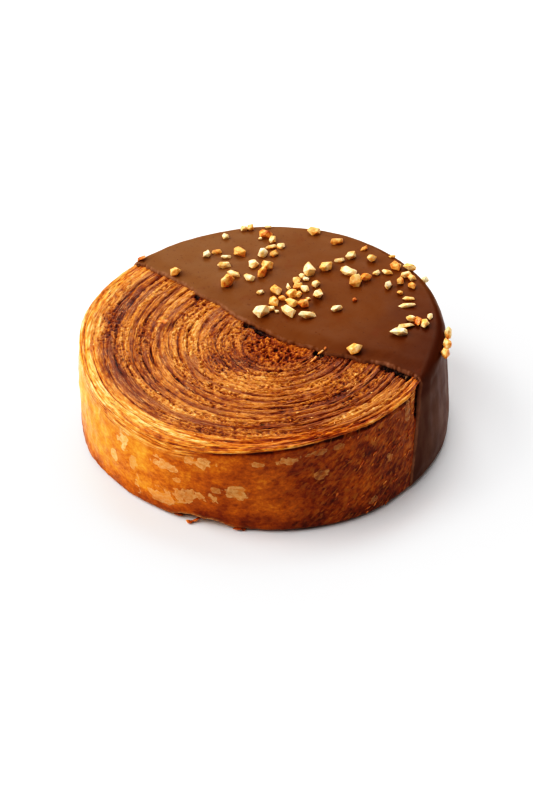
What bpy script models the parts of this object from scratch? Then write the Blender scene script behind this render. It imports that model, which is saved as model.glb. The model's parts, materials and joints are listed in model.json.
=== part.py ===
"""A New York roll: a round of laminated croissant dough, rolled up and baked in a ring, with one
side dipped in milk chocolate and strewn with chopped roasted nuts.

Units are metres and +Z is up. The origin is the middle of the flat base. The dip covers +Y, and
its edge runs along X. Every piece is first modelled upright, as if the roll were an even round
with a level top, and is then settled: the real one leans a little and is thicker on one side.
"""

import math
import random

import bmesh
import bpy
from mathutils import Euler, Matrix, Vector, noise

# The roll, upright
RADIUS = 0.0600
HEIGHT = 0.0337
SIDE_SPREAD = 0.0018
SIDE_BULGE = 0.0003
FOOT_CORNER = 0.0014
SEGMENTS = 96

# How it settled on the tray: the lean of the top against the base, and the rise across the top
LEAN = Vector((-0.0021, 0.0011))
RISE = Vector((0.028, 0.052))

# The rolled strip of dough, seen from above
SPIRAL_CENTRE = Vector((0.0106, -0.0012))
TURNS = 22
RIDGE_HEIGHT = 0.00055
GROOVE_DEPTH = 0.00065
HEART_SHARE = 0.14
HEART_DEPTH = 0.0012
HEART_ROUGHNESS = 0.0007

# The rim. The last turns slope off into a soft shoulder on the left, and stand up as a lip with
# a crease below it on the right.
LIP_OUT = 0.0007
CREASE_IN = 0.0006
LIP_ANGLES = (math.radians(276), math.radians(300))
SHOULDER_DROP = 0.0020
SHOULDER_SHARE = 0.88
SHOULDER_ANGLE = math.radians(274)
SHOULDER_WIDTH = math.radians(34)
RIM_LIFT_ANGLE = math.radians(318)
RIM_LIFT = 0.0004
RIM_LIFT_WIDTH = math.radians(14)
RIM_SWELL = 0.0009
RIM_SWELL_ANGLE = math.radians(203)
RIM_SWELL_WIDTH = math.radians(17)
FOOT_SWELL = 0.0013
FOOT_SWELL_ANGLE = math.radians(336)
FOOT_SWELL_WIDTH = math.radians(18)
FOOT_TUCK = 0.0008
FOOT_TUCK_ANGLE = math.radians(275)
FOOT_TUCK_WIDTH = math.radians(32)

# The foot stands a little off the tray all round, and more between these angles, where it is
# ragged; the underside runs in from it this many times as far as it is lifted
FOOT_LIFT = 0.0007
CHIP_HEIGHT = 0.0018
CHIP_ANGLES = (math.radians(277), math.radians(281.5), math.radians(292), math.radians(297.5))
UNDERCUT = 1.7

# The coat of chocolate
COAT_GAP = 0.00034
COAT_THICKNESS = 0.0013
COAT_SIDE_THICKNESS = 0.0010
COAT_CORNER = 0.0042
COVERED_CORNER = 0.0033
COAT_FOOT = 0.0011
COAT_WAVE = 0.00028
SEAM = (
    (-0.070, 0.0076),
    (-0.044, 0.0070),
    (-0.025, 0.0040),
    (-0.008, 0.0010),
    (0.010, -0.0004),
    (0.024, 0.0009),
    (0.036, 0.0036),
    (0.048, 0.0069),
    (0.070, 0.0050),
)
SEAM_STEP = 0.0020
SEAM_SLANT = 0.28
RELIEF_FADE = (0.0006, 0.0034)

# Chopped nuts, each as it lies on the upright roll: x, y, length and width in millimetres, and
# how many degrees its length is turned from +X
NUTS = (
    (-43.1, 9.1, 3.5, 2.8, 5), (-41, 35, 2.3, 1.8, 35), (-38.5, 42.4, 2.3, 1.9, 35),
    (-36.6, 43.8, 2.5, 2, 60), (-39.9, 22.9, 2.9, 2.2, 90), (-38.2, 26.4, 3.2, 1.7, 45),
    (-33.8, 25.8, 3.2, 1.3, 45), (-31.1, 30.2, 4.2, 2.8, 10), (-31.2, 21.5, 4.5, 2.2, 45),
    (-23, 27.2, 3.4, 3.1, -20), (-23.8, 33.7, 3.3, 2.7, 105), (-23.9, 38.8, 3.9, 1.5, 60),
    (-20.7, 35.6, 2.9, 2.2, 70), (-30.1, 43.3, 4.2, 3.1, 5), (-32, 47.8, 2.3, 1.1, 35),
    (-30.3, 40.9, 1.3, 1.1, 35), (-26, 41.9, 2.6, 2.5, 35), (-21.4, 40.9, 3.2, 1.7, 35),
    (-18.1, 28.6, 3.9, 3.1, 20), (-17.1, 24.1, 2.9, 3.1, -5), (-24.9, 18.9, 4.8, 2.2, 30),
    (-24, 13.4, 4.2, 3.9, -5), (-19.5, 19.9, 3.9, 2.1, 5), (-11.4, 15.5, 2.6, 1.5, 45),
    (-16.4, 53.8, 4.5, 2.5, 35), (-6.1, 53, 4.2, 2.2, 45), (-4.2, 33.9, 4.5, 3.6, -35),
    (-0.7, 38.9, 4.2, 3.3, 35), (0.7, 44.7, 3.2, 1.7, 45), (2.7, 48.6, 3.9, 2.5, 60),
    (4.3, 42.1, 2.9, 1, 75), (7.6, 40.4, 5.2, 2.5, 10), (12.9, 36.8, 4.2, 3.6, 80),
    (-4.5, 27, 2.9, 2.8, 90), (-4.9, 30.7, 2.6, 1.4, 10), (-2.9, 30, 1.9, 1.3, 20),
    (-2.7, 24.8, 3.2, 1.9, 55), (0.4, 24.9, 2.6, 2.2, 35), (-5.4, 23.1, 2.4, 1.2, -35),
    (-7.3, 18.8, 4.5, 3.1, -15), (-1.6, 20.2, 3.9, 2.5, 20), (0.4, 21.1, 2.3, 1.9, 5),
    (1.9, 29.2, 2.9, 2.2, 70), (6, 24.4, 6.1, 3, 110), (3.9, 55, 3.2, 1.5, 60),
    (9.6, 51, 3.2, 2.2, 10), (14.4, 56.4, 2.3, 1, 20), (19.3, 51.9, 3.9, 2.4, 10),
    (23.1, 53.9, 3.9, 2.6, 20), (24.8, 49.6, 3.5, 2.2, 55), (27.5, 49.4, 2.9, 1.9, 35),
    (25.3, 45.5, 4.1, 2.1, 115), (30, 45.5, 3.2, 1.9, -15), (29.6, 52.9, 2.9, 2.2, 100),
    (23.2, 41.2, 3.2, 2.2, 90), (15.5, 45.4, 2.6, 1.7, 70), (18.3, 47.7, 3.9, 1.8, 20),
    (14.2, 41, 3.9, 2.8, 0), (28.7, 40.3, 1.9, 1.4, 35), (32.6, 39.2, 3.9, 1.3, 35),
    (34.6, 35.7, 5.5, 1.7, 30), (18, 28.9, 1.6, 1.5, 95), (-4.3, 6.3, 4.8, 3.3, 35),
    (-4.1, 13.3, 3.9, 2.8, -5), (-2.5, 10, 2.6, 1.8, 35), (-0.4, 10, 1.6, 1.1, 35),
    (-2.9, 16.5, 2.6, 1.7, 5), (1.4, 16.1, 4.8, 2.5, 0), (3.4, 11.6, 5.2, 3.1, 0),
    (5.1, 17.5, 3.5, 3.1, 35), (4.4, 21.3, 1.6, 1, 35), (9.6, 13.3, 5.5, 2.1, 45),
    (15.7, 21.7, 3.5, 1.8, 35), (40.9, 21.8, 5.5, 3.1, 30), (40.7, 26.1, 5.2, 1.8, 50),
    (40, 30.1, 2.9, 1.9, 20), (42.7, 30.2, 4.9, 2, 120), (45.4, 30.1, 4.1, 2.4, -35),
    (44.6, 34.5, 2.9, 1.5, 120), (51.6, 33.7, 3.9, 2.5, -25), (52.9, 32.2, 1.6, 1.4, 35),
    (54.7, 28.4, 3.7, 2.4, -35), (56.9, 24, 4.5, 2.6, 120), (33.9, 6.5, 4.8, 3.3, 10),
)
NUT_SIZE = 0.5 * 0.00128
NUT_THICKNESS_SHARE = (0.85, 1.15)
NUT_TILT = 0.14
NUT_POINTS = 9
NUT_REACH = (0.80, 1.20)
NUT_SINK = 0.26
NUT_SEED = 1366

GOLDEN_ANGLE = math.pi * (3 - math.sqrt(5))


def smooth_step(value, low, high):
    """0 below low, 1 above high, and an even S between them."""
    share = min(max((value - low) / (high - low), 0.0), 1.0)
    return share * share * (3 - 2 * share)


def bump(angle, middle, width):
    """A bell of height 1 round an angle, the short way round the circle."""
    off = math.remainder(angle - middle, 2 * math.pi)
    return math.exp(-((off / width) ** 2))


def settle(point):
    """Where a point of the upright roll lies on the real one, which leans and rises to one side."""
    share = point.z / HEIGHT
    rise = RISE.x * point.x + RISE.y * point.y
    return Vector((point.x + LEAN.x * share, point.y + LEAN.y * share, point.z + share * rise))


def seam_offset(x):
    """How far the edge of the chocolate lies along +Y at x, on the top: a soft curve through SEAM."""
    for (x0, y0), (x1, y1) in zip(SEAM, SEAM[1:]):
        if x <= x1:
            return y0 + (y1 - y0) * smooth_step(x, x0, x1)
    return SEAM[-1][1]


def behind_seam(x, y, z):
    """How far a point lies into the dipped part: positive under the chocolate."""
    return y - seam_offset(x) + SEAM_SLANT * (HEIGHT - z)


def bare(x, y, z):
    """1 where the pastry is bare, and 0 from just before the edge of the chocolate onwards."""
    return smooth_step(-behind_seam(x, y, z), *RELIEF_FADE)


def side_radius(z):
    """The roll's radius at a height: below the top corner it spreads and swells a little."""
    share = min(max(z / (HEIGHT - COVERED_CORNER), 0.0), 1.0)
    return RADIUS + SIDE_SPREAD * (1 - share) + SIDE_BULGE * math.sin(math.pi * share)


def swell(angle, z):
    """How far the bare side swells out: at its rim on the left, at its foot on the right front."""
    at_rim = RIM_SWELL * bump(angle, RIM_SWELL_ANGLE, RIM_SWELL_WIDTH)
    at_foot = FOOT_SWELL * bump(angle, FOOT_SWELL_ANGLE, FOOT_SWELL_WIDTH)
    at_foot -= FOOT_TUCK * bump(angle, FOOT_TUCK_ANGLE, FOOT_TUCK_WIDTH)
    is_bare = bare(RADIUS * math.cos(angle), RADIUS * math.sin(angle), z)
    low = 1 - smooth_step(z, 0.06 * HEIGHT, 0.55 * HEIGHT)
    return is_bare * (at_rim * smooth_step(z, 0.25 * HEIGHT, 0.85 * HEIGHT) + at_foot * low)


def foot_lift(angle):
    """How far the edge of the foot stands off the tray at an angle."""
    rises, high, falls, down = CHIP_ANGLES
    turned = angle % (2 * math.pi)
    chipped = smooth_step(turned, rises, high) * (1 - smooth_step(turned, falls, down))
    return FOOT_LIFT + CHIP_HEIGHT * chipped


def spiral_point(share, angle):
    """A point of the rolled strip from above: share is 0 at the heart and 1 at the rim."""
    middle = SPIRAL_CENTRE * (1 - share**1.4)
    reach = RADIUS * share + swell(angle, HEIGHT) * share**8
    return middle.x + reach * math.cos(angle), middle.y + reach * math.sin(angle)


def lip_share(angle):
    """1 where the rim stands up as a lip, 0 where it slopes off into a shoulder."""
    return smooth_step(angle % (2 * math.pi), *LIP_ANGLES)


def rim_offset(share, angle):
    """How far the last turns rise above the level of the top, or fall below it."""
    lift = RIM_LIFT * bump(angle, RIM_LIFT_ANGLE, RIM_LIFT_WIDTH) * smooth_step(share, 0.80, 1.0)
    slope = max(share - SHOULDER_SHARE, 0.0) / (1 - SHOULDER_SHARE)
    return lift - SHOULDER_DROP * bump(angle, SHOULDER_ANGLE, SHOULDER_WIDTH) * slope**1.6


def top_height(share, angle, on_ridge):
    """The height of the top on a ridge of the strip or in the groove beside it."""
    x, y = spiral_point(share, angle)
    open_share = bare(x, y, HEIGHT)
    unevenness = noise.noise(Vector((x, y, 0)) * 260)
    if on_ridge:
        relief = RIDGE_HEIGHT * (0.75 + 0.6 * unevenness)
    else:
        relief = -GROOVE_DEPTH * (0.80 + 0.9 * unevenness)
    heart = 1 - smooth_step(share, 0.5 * HEART_SHARE, HEART_SHARE)
    relief = relief * (1 - heart)
    relief += heart * (HEART_ROUGHNESS * noise.noise(Vector((x, y, 0.01)) * 900) - HEART_DEPTH)
    relief += rim_offset(share, angle)
    from_rim = RADIUS * (1 - share)
    if from_rim < COVERED_CORNER:
        reach = COVERED_CORNER - from_rim
        corner = COVERED_CORNER - math.sqrt(COVERED_CORNER**2 - reach**2)
    else:
        corner = 0.0
    return HEIGHT + open_share * relief - (1 - open_share) * corner


class RollMesh:
    """Builds the pastry's surface. No primitive or modifier makes rings that run on into each
    other, so its top is laid along the spiral: two rings, a groove and a ridge, to each turn."""

    def __init__(self):
        self.bm = bmesh.new()
        self.rim = [self.vertex(*self.rim_point(j)) for j in range(SEGMENTS)]
        self.rings = {}
        self.covered = []

    def vertex(self, x, y, z):
        return self.bm.verts.new(settle(Vector((x, y, z))))

    def rim_point(self, j):
        angle = 2 * math.pi * j / SEGMENTS
        x, y = spiral_point(1.0, angle)
        return x, y, top_height(1.0, angle, True)

    def ring_vertex(self, ring, j):
        """The vertex of a ring at segment j. After a full turn a ring runs on two rings out."""
        if j == SEGMENTS:
            return self.ring_vertex(ring + 2, 0)
        share = (ring + 2 * j / SEGMENTS) / (2 * TURNS)
        if share > 1 - 0.45 / (2 * TURNS):
            return self.rim[j]
        if (ring, j) not in self.rings:
            angle = 2 * math.pi * j / SEGMENTS
            x, y = spiral_point(share, angle)
            self.rings[ring, j] = self.vertex(x, y, top_height(share, angle, ring % 2 == 1))
        return self.rings[ring, j]

    def face(self, corners):
        """A face over the corners, leaving out any that the rim has merged."""
        distinct = [v for i, v in enumerate(corners) if v not in corners[:i]]
        if len(distinct) > 2:
            return self.bm.faces.new(distinct)
        return None

    def lay_top(self):
        for ring in range(2 * TURNS + 1):
            for j in range(SEGMENTS):
                face = self.face(
                    [
                        self.ring_vertex(ring, j),
                        self.ring_vertex(ring + 1, j),
                        self.ring_vertex(ring + 1, j + 1),
                        self.ring_vertex(ring, j + 1),
                    ]
                )
                share = (ring + 2 * j / SEGMENTS) / (2 * TURNS)
                x, y = spiral_point(min(share, 1.0), 2 * math.pi * j / SEGMENTS)
                far_behind = behind_seam(x, y, HEIGHT) > 2 * RADIUS / TURNS
                if face and far_behind and share < 1 - COVERED_CORNER / RADIUS:
                    self.covered.append(face)
        heart = self.ring_vertex(0, 0)
        for j in range(1, SEGMENTS - 1):
            self.face([heart, self.ring_vertex(0, j), self.ring_vertex(0, j + 1)])
        last = self.ring_vertex(0, SEGMENTS - 1)
        self.face([heart, last, self.ring_vertex(0, SEGMENTS), self.ring_vertex(1, 0)])

    def side_rows(self, j):
        """(height, distance out from the side) down the wall at segment j, below the rim."""
        angle = 2 * math.pi * j / SEGMENTS
        x, y, rim_z = self.rim_point(j)
        lip = lip_share(angle)
        lip_out = LIP_OUT * (0.5 + 0.5 * lip)
        rows = [(rim_z - 0.0009, lip_out * bare(x, y, rim_z - 0.0009))]
        rows.append((rim_z - 0.0018, -CREASE_IN * lip * bare(x, y, rim_z - 0.0018)))
        rows.append((rim_z - 0.0034, 0.0))
        wall_top = rim_z - 0.0034
        lift = foot_lift(angle)
        wall_foot = FOOT_CORNER + lift
        for step in (0.28, 0.55, 0.80):
            z = wall_top + step * (wall_foot - wall_top)
            wave = noise.noise(Vector((x * 45, y * 45, z * 90)))
            rows.append((z, 0.0005 * wave * bare(x, y, z)))
        for turn in (0.0, 30.0, 60.0, 90.0):
            slope = math.radians(turn)
            z = lift + FOOT_CORNER * (1 - math.sin(slope))
            rows.append((z, -FOOT_CORNER * (1 - math.cos(slope))))
        return rows

    def lay_side(self):
        columns = []
        for j in range(SEGMENTS):
            angle = 2 * math.pi * j / SEGMENTS
            column = [self.rim[j]]
            for z, out in self.side_rows(j):
                radius = side_radius(z) + swell(angle, z) + out
                column.append(self.vertex(radius * math.cos(angle), radius * math.sin(angle), z))
            foot = side_radius(0.0) + swell(angle, 0.0) - FOOT_CORNER - UNDERCUT * foot_lift(angle)
            column.append(self.vertex(foot * math.cos(angle), foot * math.sin(angle), 0.0))
            columns.append(column)
        for j, column in enumerate(columns):
            beside = columns[(j + 1) % SEGMENTS]
            for i in range(len(column) - 1):
                self.face([column[i], column[i + 1], beside[i + 1], beside[i]])
        self.face([column[-1] for column in reversed(columns)])

    def finished(self, name):
        self.lay_top()
        self.lay_side()
        bmesh.ops.recalc_face_normals(self.bm, faces=self.bm.faces)
        inner_edges = {e for f in self.covered for e in f.edges}
        inner_verts = {v for f in self.covered for v in f.verts}
        bmesh.ops.dissolve_limit(
            self.bm,
            angle_limit=math.radians(0.6),
            verts=list(inner_verts),
            edges=list(inner_edges),
        )
        mesh = bpy.data.meshes.new(name)
        self.bm.to_mesh(mesh)
        self.bm.free()
        return mesh


def material(name, colour, roughness):
    made = bpy.data.materials.new(name)
    made.use_nodes = True
    shader = made.node_tree.nodes["Principled BSDF"]
    shader.inputs["Base Color"].default_value = (*colour, 1.0)
    shader.inputs["Roughness"].default_value = roughness
    shader.inputs["Metallic"].default_value = 0.0
    return made


def add_object(name, mesh, collection):
    made = bpy.data.objects.new(name, mesh)
    collection.objects.link(made)
    return made


def evaluated_mesh(source, name):
    """The mesh of an object with its modifiers applied."""
    graph = bpy.context.evaluated_depsgraph_get()
    mesh = bpy.data.meshes.new_from_object(source.evaluated_get(graph), depsgraph=graph)
    mesh.name = name
    return mesh


def apply_modifiers(obj):
    bpy.context.view_layer.update()
    raw = obj.data
    obj.data = evaluated_mesh(obj, raw.name + "_shaped")
    obj.modifiers.clear()
    bpy.data.meshes.remove(raw)


def corner_arc(radius, z, size, steps):
    """Points round an outer top corner, from the side up to the top."""
    middle_radius, middle_z = radius - size, z - size
    for step in range(steps + 1):
        turn = 0.5 * math.pi * step / steps
        yield middle_radius + size * math.cos(turn), middle_z + size * math.sin(turn)


def coat_profile():
    """The coat's cross-section, from the axis over the top and down, then back up inside."""
    top = HEIGHT + COAT_GAP + COAT_THICKNESS
    out = COAT_GAP + COAT_SIDE_THICKNESS
    corner_foot = top - COAT_CORNER
    flat_rim = side_radius(HEIGHT) + out - COAT_CORNER
    outer = [(flat_rim * step / 6, top) for step in range(6)]
    outer += reversed(list(corner_arc(side_radius(HEIGHT) + out, top, COAT_CORNER, 4)))
    for share in (0.75, 0.5, 0.25, 0.0):
        z = COAT_FOOT + share * (corner_foot - COAT_FOOT)
        outer.append((side_radius(z) + out, z))

    inner_top = HEIGHT + COAT_GAP
    inner_corner = COVERED_CORNER + COAT_GAP
    inner_foot = inner_top - inner_corner
    inner = []
    for share in (0.0, 0.2, 0.4, 0.6, 0.8):
        z = COAT_FOOT + share * (inner_foot - COAT_FOOT)
        inner.append((side_radius(z) + COAT_GAP, z))
    inner += list(corner_arc(side_radius(HEIGHT) + COAT_GAP, inner_top, inner_corner, 4))
    inner.append((0.0, inner_top))
    return outer + inner


def turned(name, profile, collection):
    """A solid turned about Z from a profile whose two ends lie on the axis."""
    mesh = bpy.data.meshes.new(name)
    edges = [(i, i + 1) for i in range(len(profile) - 1)]
    mesh.from_pydata([(radius, 0.0, z) for radius, z in profile], edges, [])
    made = add_object(name, mesh, collection)
    screw = made.modifiers.new("turn", "SCREW")
    screw.steps = screw.render_steps = SEGMENTS
    screw.use_merge_vertices = True
    screw.merge_threshold = 0.00001
    screw.use_normal_calculate = True
    apply_modifiers(made)
    return made


def ripple_coat(coat):
    """Gives the outer face of the coat the soft unevenness of set chocolate, and settles it."""
    inner_top = HEIGHT + COAT_GAP
    for vertex in coat.data.vertices:
        x, y, z = vertex.co
        outside = z > inner_top + 0.5 * COAT_THICKNESS or math.hypot(x, y) > (
            side_radius(z) + COAT_GAP + 0.5 * COAT_SIDE_THICKNESS
        )
        if outside:
            wave = COAT_WAVE * noise.noise(Vector((x, y, z)) * 75)
            away = Vector((x, y, 0)).normalized() if z < HEIGHT - COAT_CORNER else Vector((0, 0, 1))
            vertex.co += wave * away
        vertex.co = settle(vertex.co)


def dip_cutter(collection):
    """The space in front of the edge of the chocolate: what the dip left bare."""
    outline = bpy.data.curves.new("dip_outline", "CURVE")
    outline.dimensions = "2D"
    outline.fill_mode = "BOTH"
    outline.extrude = HEIGHT
    reach = SEAM[-1][0]
    steps = round(2 * reach / SEAM_STEP)
    points = [(-reach, -2 * reach)]
    for step in range(steps + 1):
        x = -reach + 2 * reach * step / steps
        points.append((x, seam_offset(x)))
    points.append((reach, -2 * reach))
    spline = outline.splines.new("POLY")
    spline.points.add(len(points) - 1)
    for point, (x, y) in zip(spline.points, points):
        point.co = (x, y, 0.0, 1.0)
    spline.use_cyclic_u = True
    flat = add_object("dip_outline", outline, collection)
    bpy.context.view_layer.update()
    cutter = add_object("dip_cutter", evaluated_mesh(flat, "dip_cutter"), collection)
    bpy.data.objects.remove(flat)
    bm = bmesh.new()
    bm.from_mesh(cutter.data)
    bmesh.ops.remove_doubles(bm, verts=bm.verts, dist=0.00001)
    for vertex in bm.verts:
        vertex.co.z += 0.6 * HEIGHT
        vertex.co.y -= SEAM_SLANT * (HEIGHT - vertex.co.z)
        vertex.co = settle(vertex.co)
    bmesh.ops.recalc_face_normals(bm, faces=bm.faces)
    bm.to_mesh(cutter.data)
    bm.free()
    cutter.hide_render = True
    cutter.display_type = "WIRE"
    return cutter


def cut(obj, cutter):
    modifier = obj.modifiers.new("cut_" + cutter.name, "BOOLEAN")
    modifier.operation = "DIFFERENCE"
    modifier.solver = "EXACT"
    modifier.object = cutter
    apply_modifiers(obj)


def coat_surface(x, y):
    """The height of the coat's outer face above a point of the upright roll, and how it slopes."""
    from_rim = side_radius(HEIGHT) + COAT_GAP + COAT_SIDE_THICKNESS - math.hypot(x, y)
    top = HEIGHT + COAT_GAP + COAT_THICKNESS
    if from_rim >= COAT_CORNER:
        return top, 0.0
    reach = min(COAT_CORNER - from_rim, 0.93 * COAT_CORNER)
    return top - COAT_CORNER + math.sqrt(COAT_CORNER**2 - reach**2), math.asin(reach / COAT_CORNER)


def nut_pieces():
    """Each chopped piece as (place, turn, half sizes, corner points)."""
    draw = random.Random(NUT_SEED)
    pieces = []
    for x, y, length, width, heading in NUTS:
        x, y = 0.001 * x, 0.001 * y
        half = NUT_SIZE * Vector((length, width, width * draw.uniform(*NUT_THICKNESS_SHARE)))
        surface, slope = coat_surface(x, y)
        outward = math.atan2(y, x)
        tilt = Matrix.Rotation(slope, 3, Vector((-math.sin(outward), math.cos(outward), 0)))
        lay = Euler((draw.gauss(0, NUT_TILT), draw.gauss(0, NUT_TILT), math.radians(heading)))
        up = tilt @ Vector((0, 0, 1))
        rest = Vector((x, y, surface)) + up * half.z * (1 - 2 * NUT_SINK)
        pieces.append((rest, tilt @ lay.to_matrix(), half, nut_corners(draw)))
    return pieces


def nut_corners(draw):
    """Corner points of a broken piece: spread round a ball with uneven reach, 2 across each way."""
    corners = []
    for index in range(NUT_POINTS):
        z = 1 - (2 * index + 1) / NUT_POINTS
        ring = math.sqrt(1 - z * z)
        angle = index * GOLDEN_ANGLE + draw.uniform(-0.35, 0.35)
        reach = draw.uniform(*NUT_REACH)
        corners.append(Vector((ring * math.cos(angle), ring * math.sin(angle), z)) * reach)
    spans = [max(abs(corner[axis]) for corner in corners) for axis in range(3)]
    return [Vector([corner[axis] / spans[axis] for axis in range(3)]) for corner in corners]


def nut_object(name, piece, collection):
    place, turn, half, corners = piece
    bm = bmesh.new()
    for corner in corners:
        stretched = Vector((corner.x * half.x, corner.y * half.y, corner.z * half.z))
        bm.verts.new(settle(place) + turn @ stretched)
    hull = bmesh.ops.convex_hull(bm, input=bm.verts)
    bmesh.ops.delete(bm, geom=list(set(hull["geom_interior"])), context="VERTS")
    bmesh.ops.recalc_face_normals(bm, faces=bm.faces)
    mesh = bpy.data.meshes.new(name)
    bm.to_mesh(mesh)
    bm.free()
    return add_object(name, mesh, collection)


def fuse_nuts(coat, collection):
    """Joins the chopped nuts to the chocolate that they stuck to."""
    for index, piece in enumerate(nut_pieces()):
        nut_object(f"nut_{index:02d}", piece, collection)
    modifier = coat.modifiers.new("nuts", "BOOLEAN")
    modifier.operation = "UNION"
    modifier.solver = "EXACT"
    modifier.operand_type = "COLLECTION"
    modifier.collection = collection
    apply_modifiers(coat)
    for nut in list(collection.objects):
        bpy.data.objects.remove(nut)
    bpy.data.collections.remove(collection)


def new_collection(name):
    made = bpy.data.collections.new(name)
    bpy.context.scene.collection.children.link(made)
    return made


def shade(obj, surface, sharp_angle):
    obj.data.materials.clear()
    obj.data.materials.append(surface)
    obj.data.shade_smooth()
    obj.data.set_sharp_from_angle(angle=math.radians(sharp_angle))


def main():
    for obj in list(bpy.data.objects):
        bpy.data.objects.remove(obj)
    roll_parts = new_collection("new_york_roll")
    cutters = new_collection("cutters")
    loose_nuts = new_collection("loose_nuts")

    pastry = add_object("laminated_roll", RollMesh().finished("laminated_roll"), roll_parts)
    shade(pastry, material("baked_pastry", (0.52, 0.22, 0.045), 0.45), 40)

    coat = turned("chocolate_coat", coat_profile(), roll_parts)
    ripple_coat(coat)
    cut(coat, dip_cutter(cutters))
    fuse_nuts(coat, loose_nuts)
    shade(coat, material("milk_chocolate", (0.155, 0.052, 0.020), 0.32), 40)


main()
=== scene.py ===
"""The looks of a New York roll: laminated dough, rolled up and baked in a ring, with one side
dipped in milk chocolate and strewn with chopped roasted nuts.

Units are metres, +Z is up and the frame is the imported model's own: the origin is the middle of the
flat base, the dip covers +Y and its edge runs along X. As in the part's source, each piece is
modelled upright, as if the roll were an even round with a level top, and is then settled.
"""

import json
import random
from math import asin, atan2, cos, exp, hypot, pi, radians, remainder, sin, sqrt

import bmesh
import bpy
from mathutils import Euler, Matrix, Vector, noise

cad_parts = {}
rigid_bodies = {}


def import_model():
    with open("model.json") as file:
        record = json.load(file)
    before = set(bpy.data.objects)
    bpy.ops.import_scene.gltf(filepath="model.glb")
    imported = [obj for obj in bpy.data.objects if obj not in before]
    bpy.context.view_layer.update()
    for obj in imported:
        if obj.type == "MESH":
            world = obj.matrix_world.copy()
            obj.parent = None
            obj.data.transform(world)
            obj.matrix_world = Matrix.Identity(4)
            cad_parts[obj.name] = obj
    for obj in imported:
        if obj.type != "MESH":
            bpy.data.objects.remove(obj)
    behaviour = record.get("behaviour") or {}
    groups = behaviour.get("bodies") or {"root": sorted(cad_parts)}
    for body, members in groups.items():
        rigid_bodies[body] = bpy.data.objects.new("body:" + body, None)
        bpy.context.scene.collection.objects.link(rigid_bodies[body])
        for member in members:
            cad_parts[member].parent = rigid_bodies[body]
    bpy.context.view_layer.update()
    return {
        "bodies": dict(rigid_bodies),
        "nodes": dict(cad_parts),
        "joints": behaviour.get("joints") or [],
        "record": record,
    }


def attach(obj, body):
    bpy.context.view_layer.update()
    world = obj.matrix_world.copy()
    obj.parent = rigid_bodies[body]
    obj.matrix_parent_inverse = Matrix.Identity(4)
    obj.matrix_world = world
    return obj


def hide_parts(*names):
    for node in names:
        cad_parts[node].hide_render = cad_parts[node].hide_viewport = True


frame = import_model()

TAU = 2 * pi
MM = 0.001

# The roll, upright
RADIUS = 0.0600
HEIGHT = 0.0337
SIDE_SPREAD = 0.0018
SIDE_BULGE = 0.0003
FOOT_CORNER = 0.0014

# How it settled on the tray: the lean of the top against the base, and the rise across the top
LEAN = Vector((-0.0021, 0.0011))
RISE = Vector((0.028, 0.052))

# The rolled strip of dough, seen from above
SPIRAL_CENTRE = Vector((0.0106, -0.0012))
TURNS = 22
RIDGE_HEIGHT = 0.00055
GROOVE_DEPTH = 0.00065
HEART_SHARE = 0.14
HEART_DEPTH = 0.0012

# The rim. The last turns slope off into a soft shoulder on the left, and stand up as a lip with
# a crease below it on the right.
LIP_OUT = 0.0007
CREASE_IN = 0.0006
LIP_ANGLES = (276, 300)
SOFT_BROW = 0.0011
SHOULDER_SHARE = 0.88

# Bells round the roll: how high each is, and its middle and width in degrees
SHOULDER_DROP = (0.0020, 274, 34)
RIM_LIFT = (0.0004, 318, 14)
RIM_SWELL = (0.0009, 203, 17)
FOOT_SWELL = (0.0013, 336, 18)
FOOT_TUCK = (0.0008, 275, 32)
DARK_RING = (1.0, 206, 36)
CRUMBLED = (1.0, 347, 20)
PUFFED = (0.20, 205, 60)
DARK_FRONT = (0.17, 303, 28.65)
CREAM_FOOT = (1.0, 287, 12.6)

# The foot stands a little off the tray all round, and more between these angles, where it is
# ragged; the underside runs in from it this many times as far as it is lifted
FOOT_LIFT = 0.0007
CHIP_HEIGHT = 0.0018
CHIP_ANGLES = (277, 281.5, 292, 297.5)
UNDERCUT = 1.7

# The coat of chocolate
COAT_GAP = 0.00034
COAT_THICKNESS = 0.0013
COAT_SIDE_THICKNESS = 0.0010
COAT_TOP = HEIGHT + COAT_GAP + COAT_THICKNESS
COAT_CORNER = 0.0042
COVERED_CORNER = 0.0033
COVERED_FROM = (0.0030, 0.0110)
COVERED_SINK = 0.0003
SEAM_CORNER = 0.0026
COAT_FOOT = 0.0011
SEAM = (
    (-0.070, 0.0076), (-0.044, 0.0070), (-0.025, 0.0040), (-0.008, 0.0010), (0.010, -0.0004),
    (0.024, 0.0009), (0.036, 0.0036), (0.048, 0.0069), (0.070, 0.0050),
)
SEAM_SLANT = 0.28
COAT_SUNK = 0.0007
COAT_EDGE = 0.0007
COAT_TAPER = 0.0006
COAT_TAPER_REACH = 0.007
EDGE_STEPS = (0.0, 0.00006, 0.00016, 0.0003, 0.0005, 0.0007, 0.0011, 0.0018)
COAT_COLUMNS = 300
COAT_TOP_ROWS = 58
COAT_CORNER_ROWS = 9
COAT_WALL_ROWS = 40
SHEET_THICKNESS = 0.0007

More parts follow.
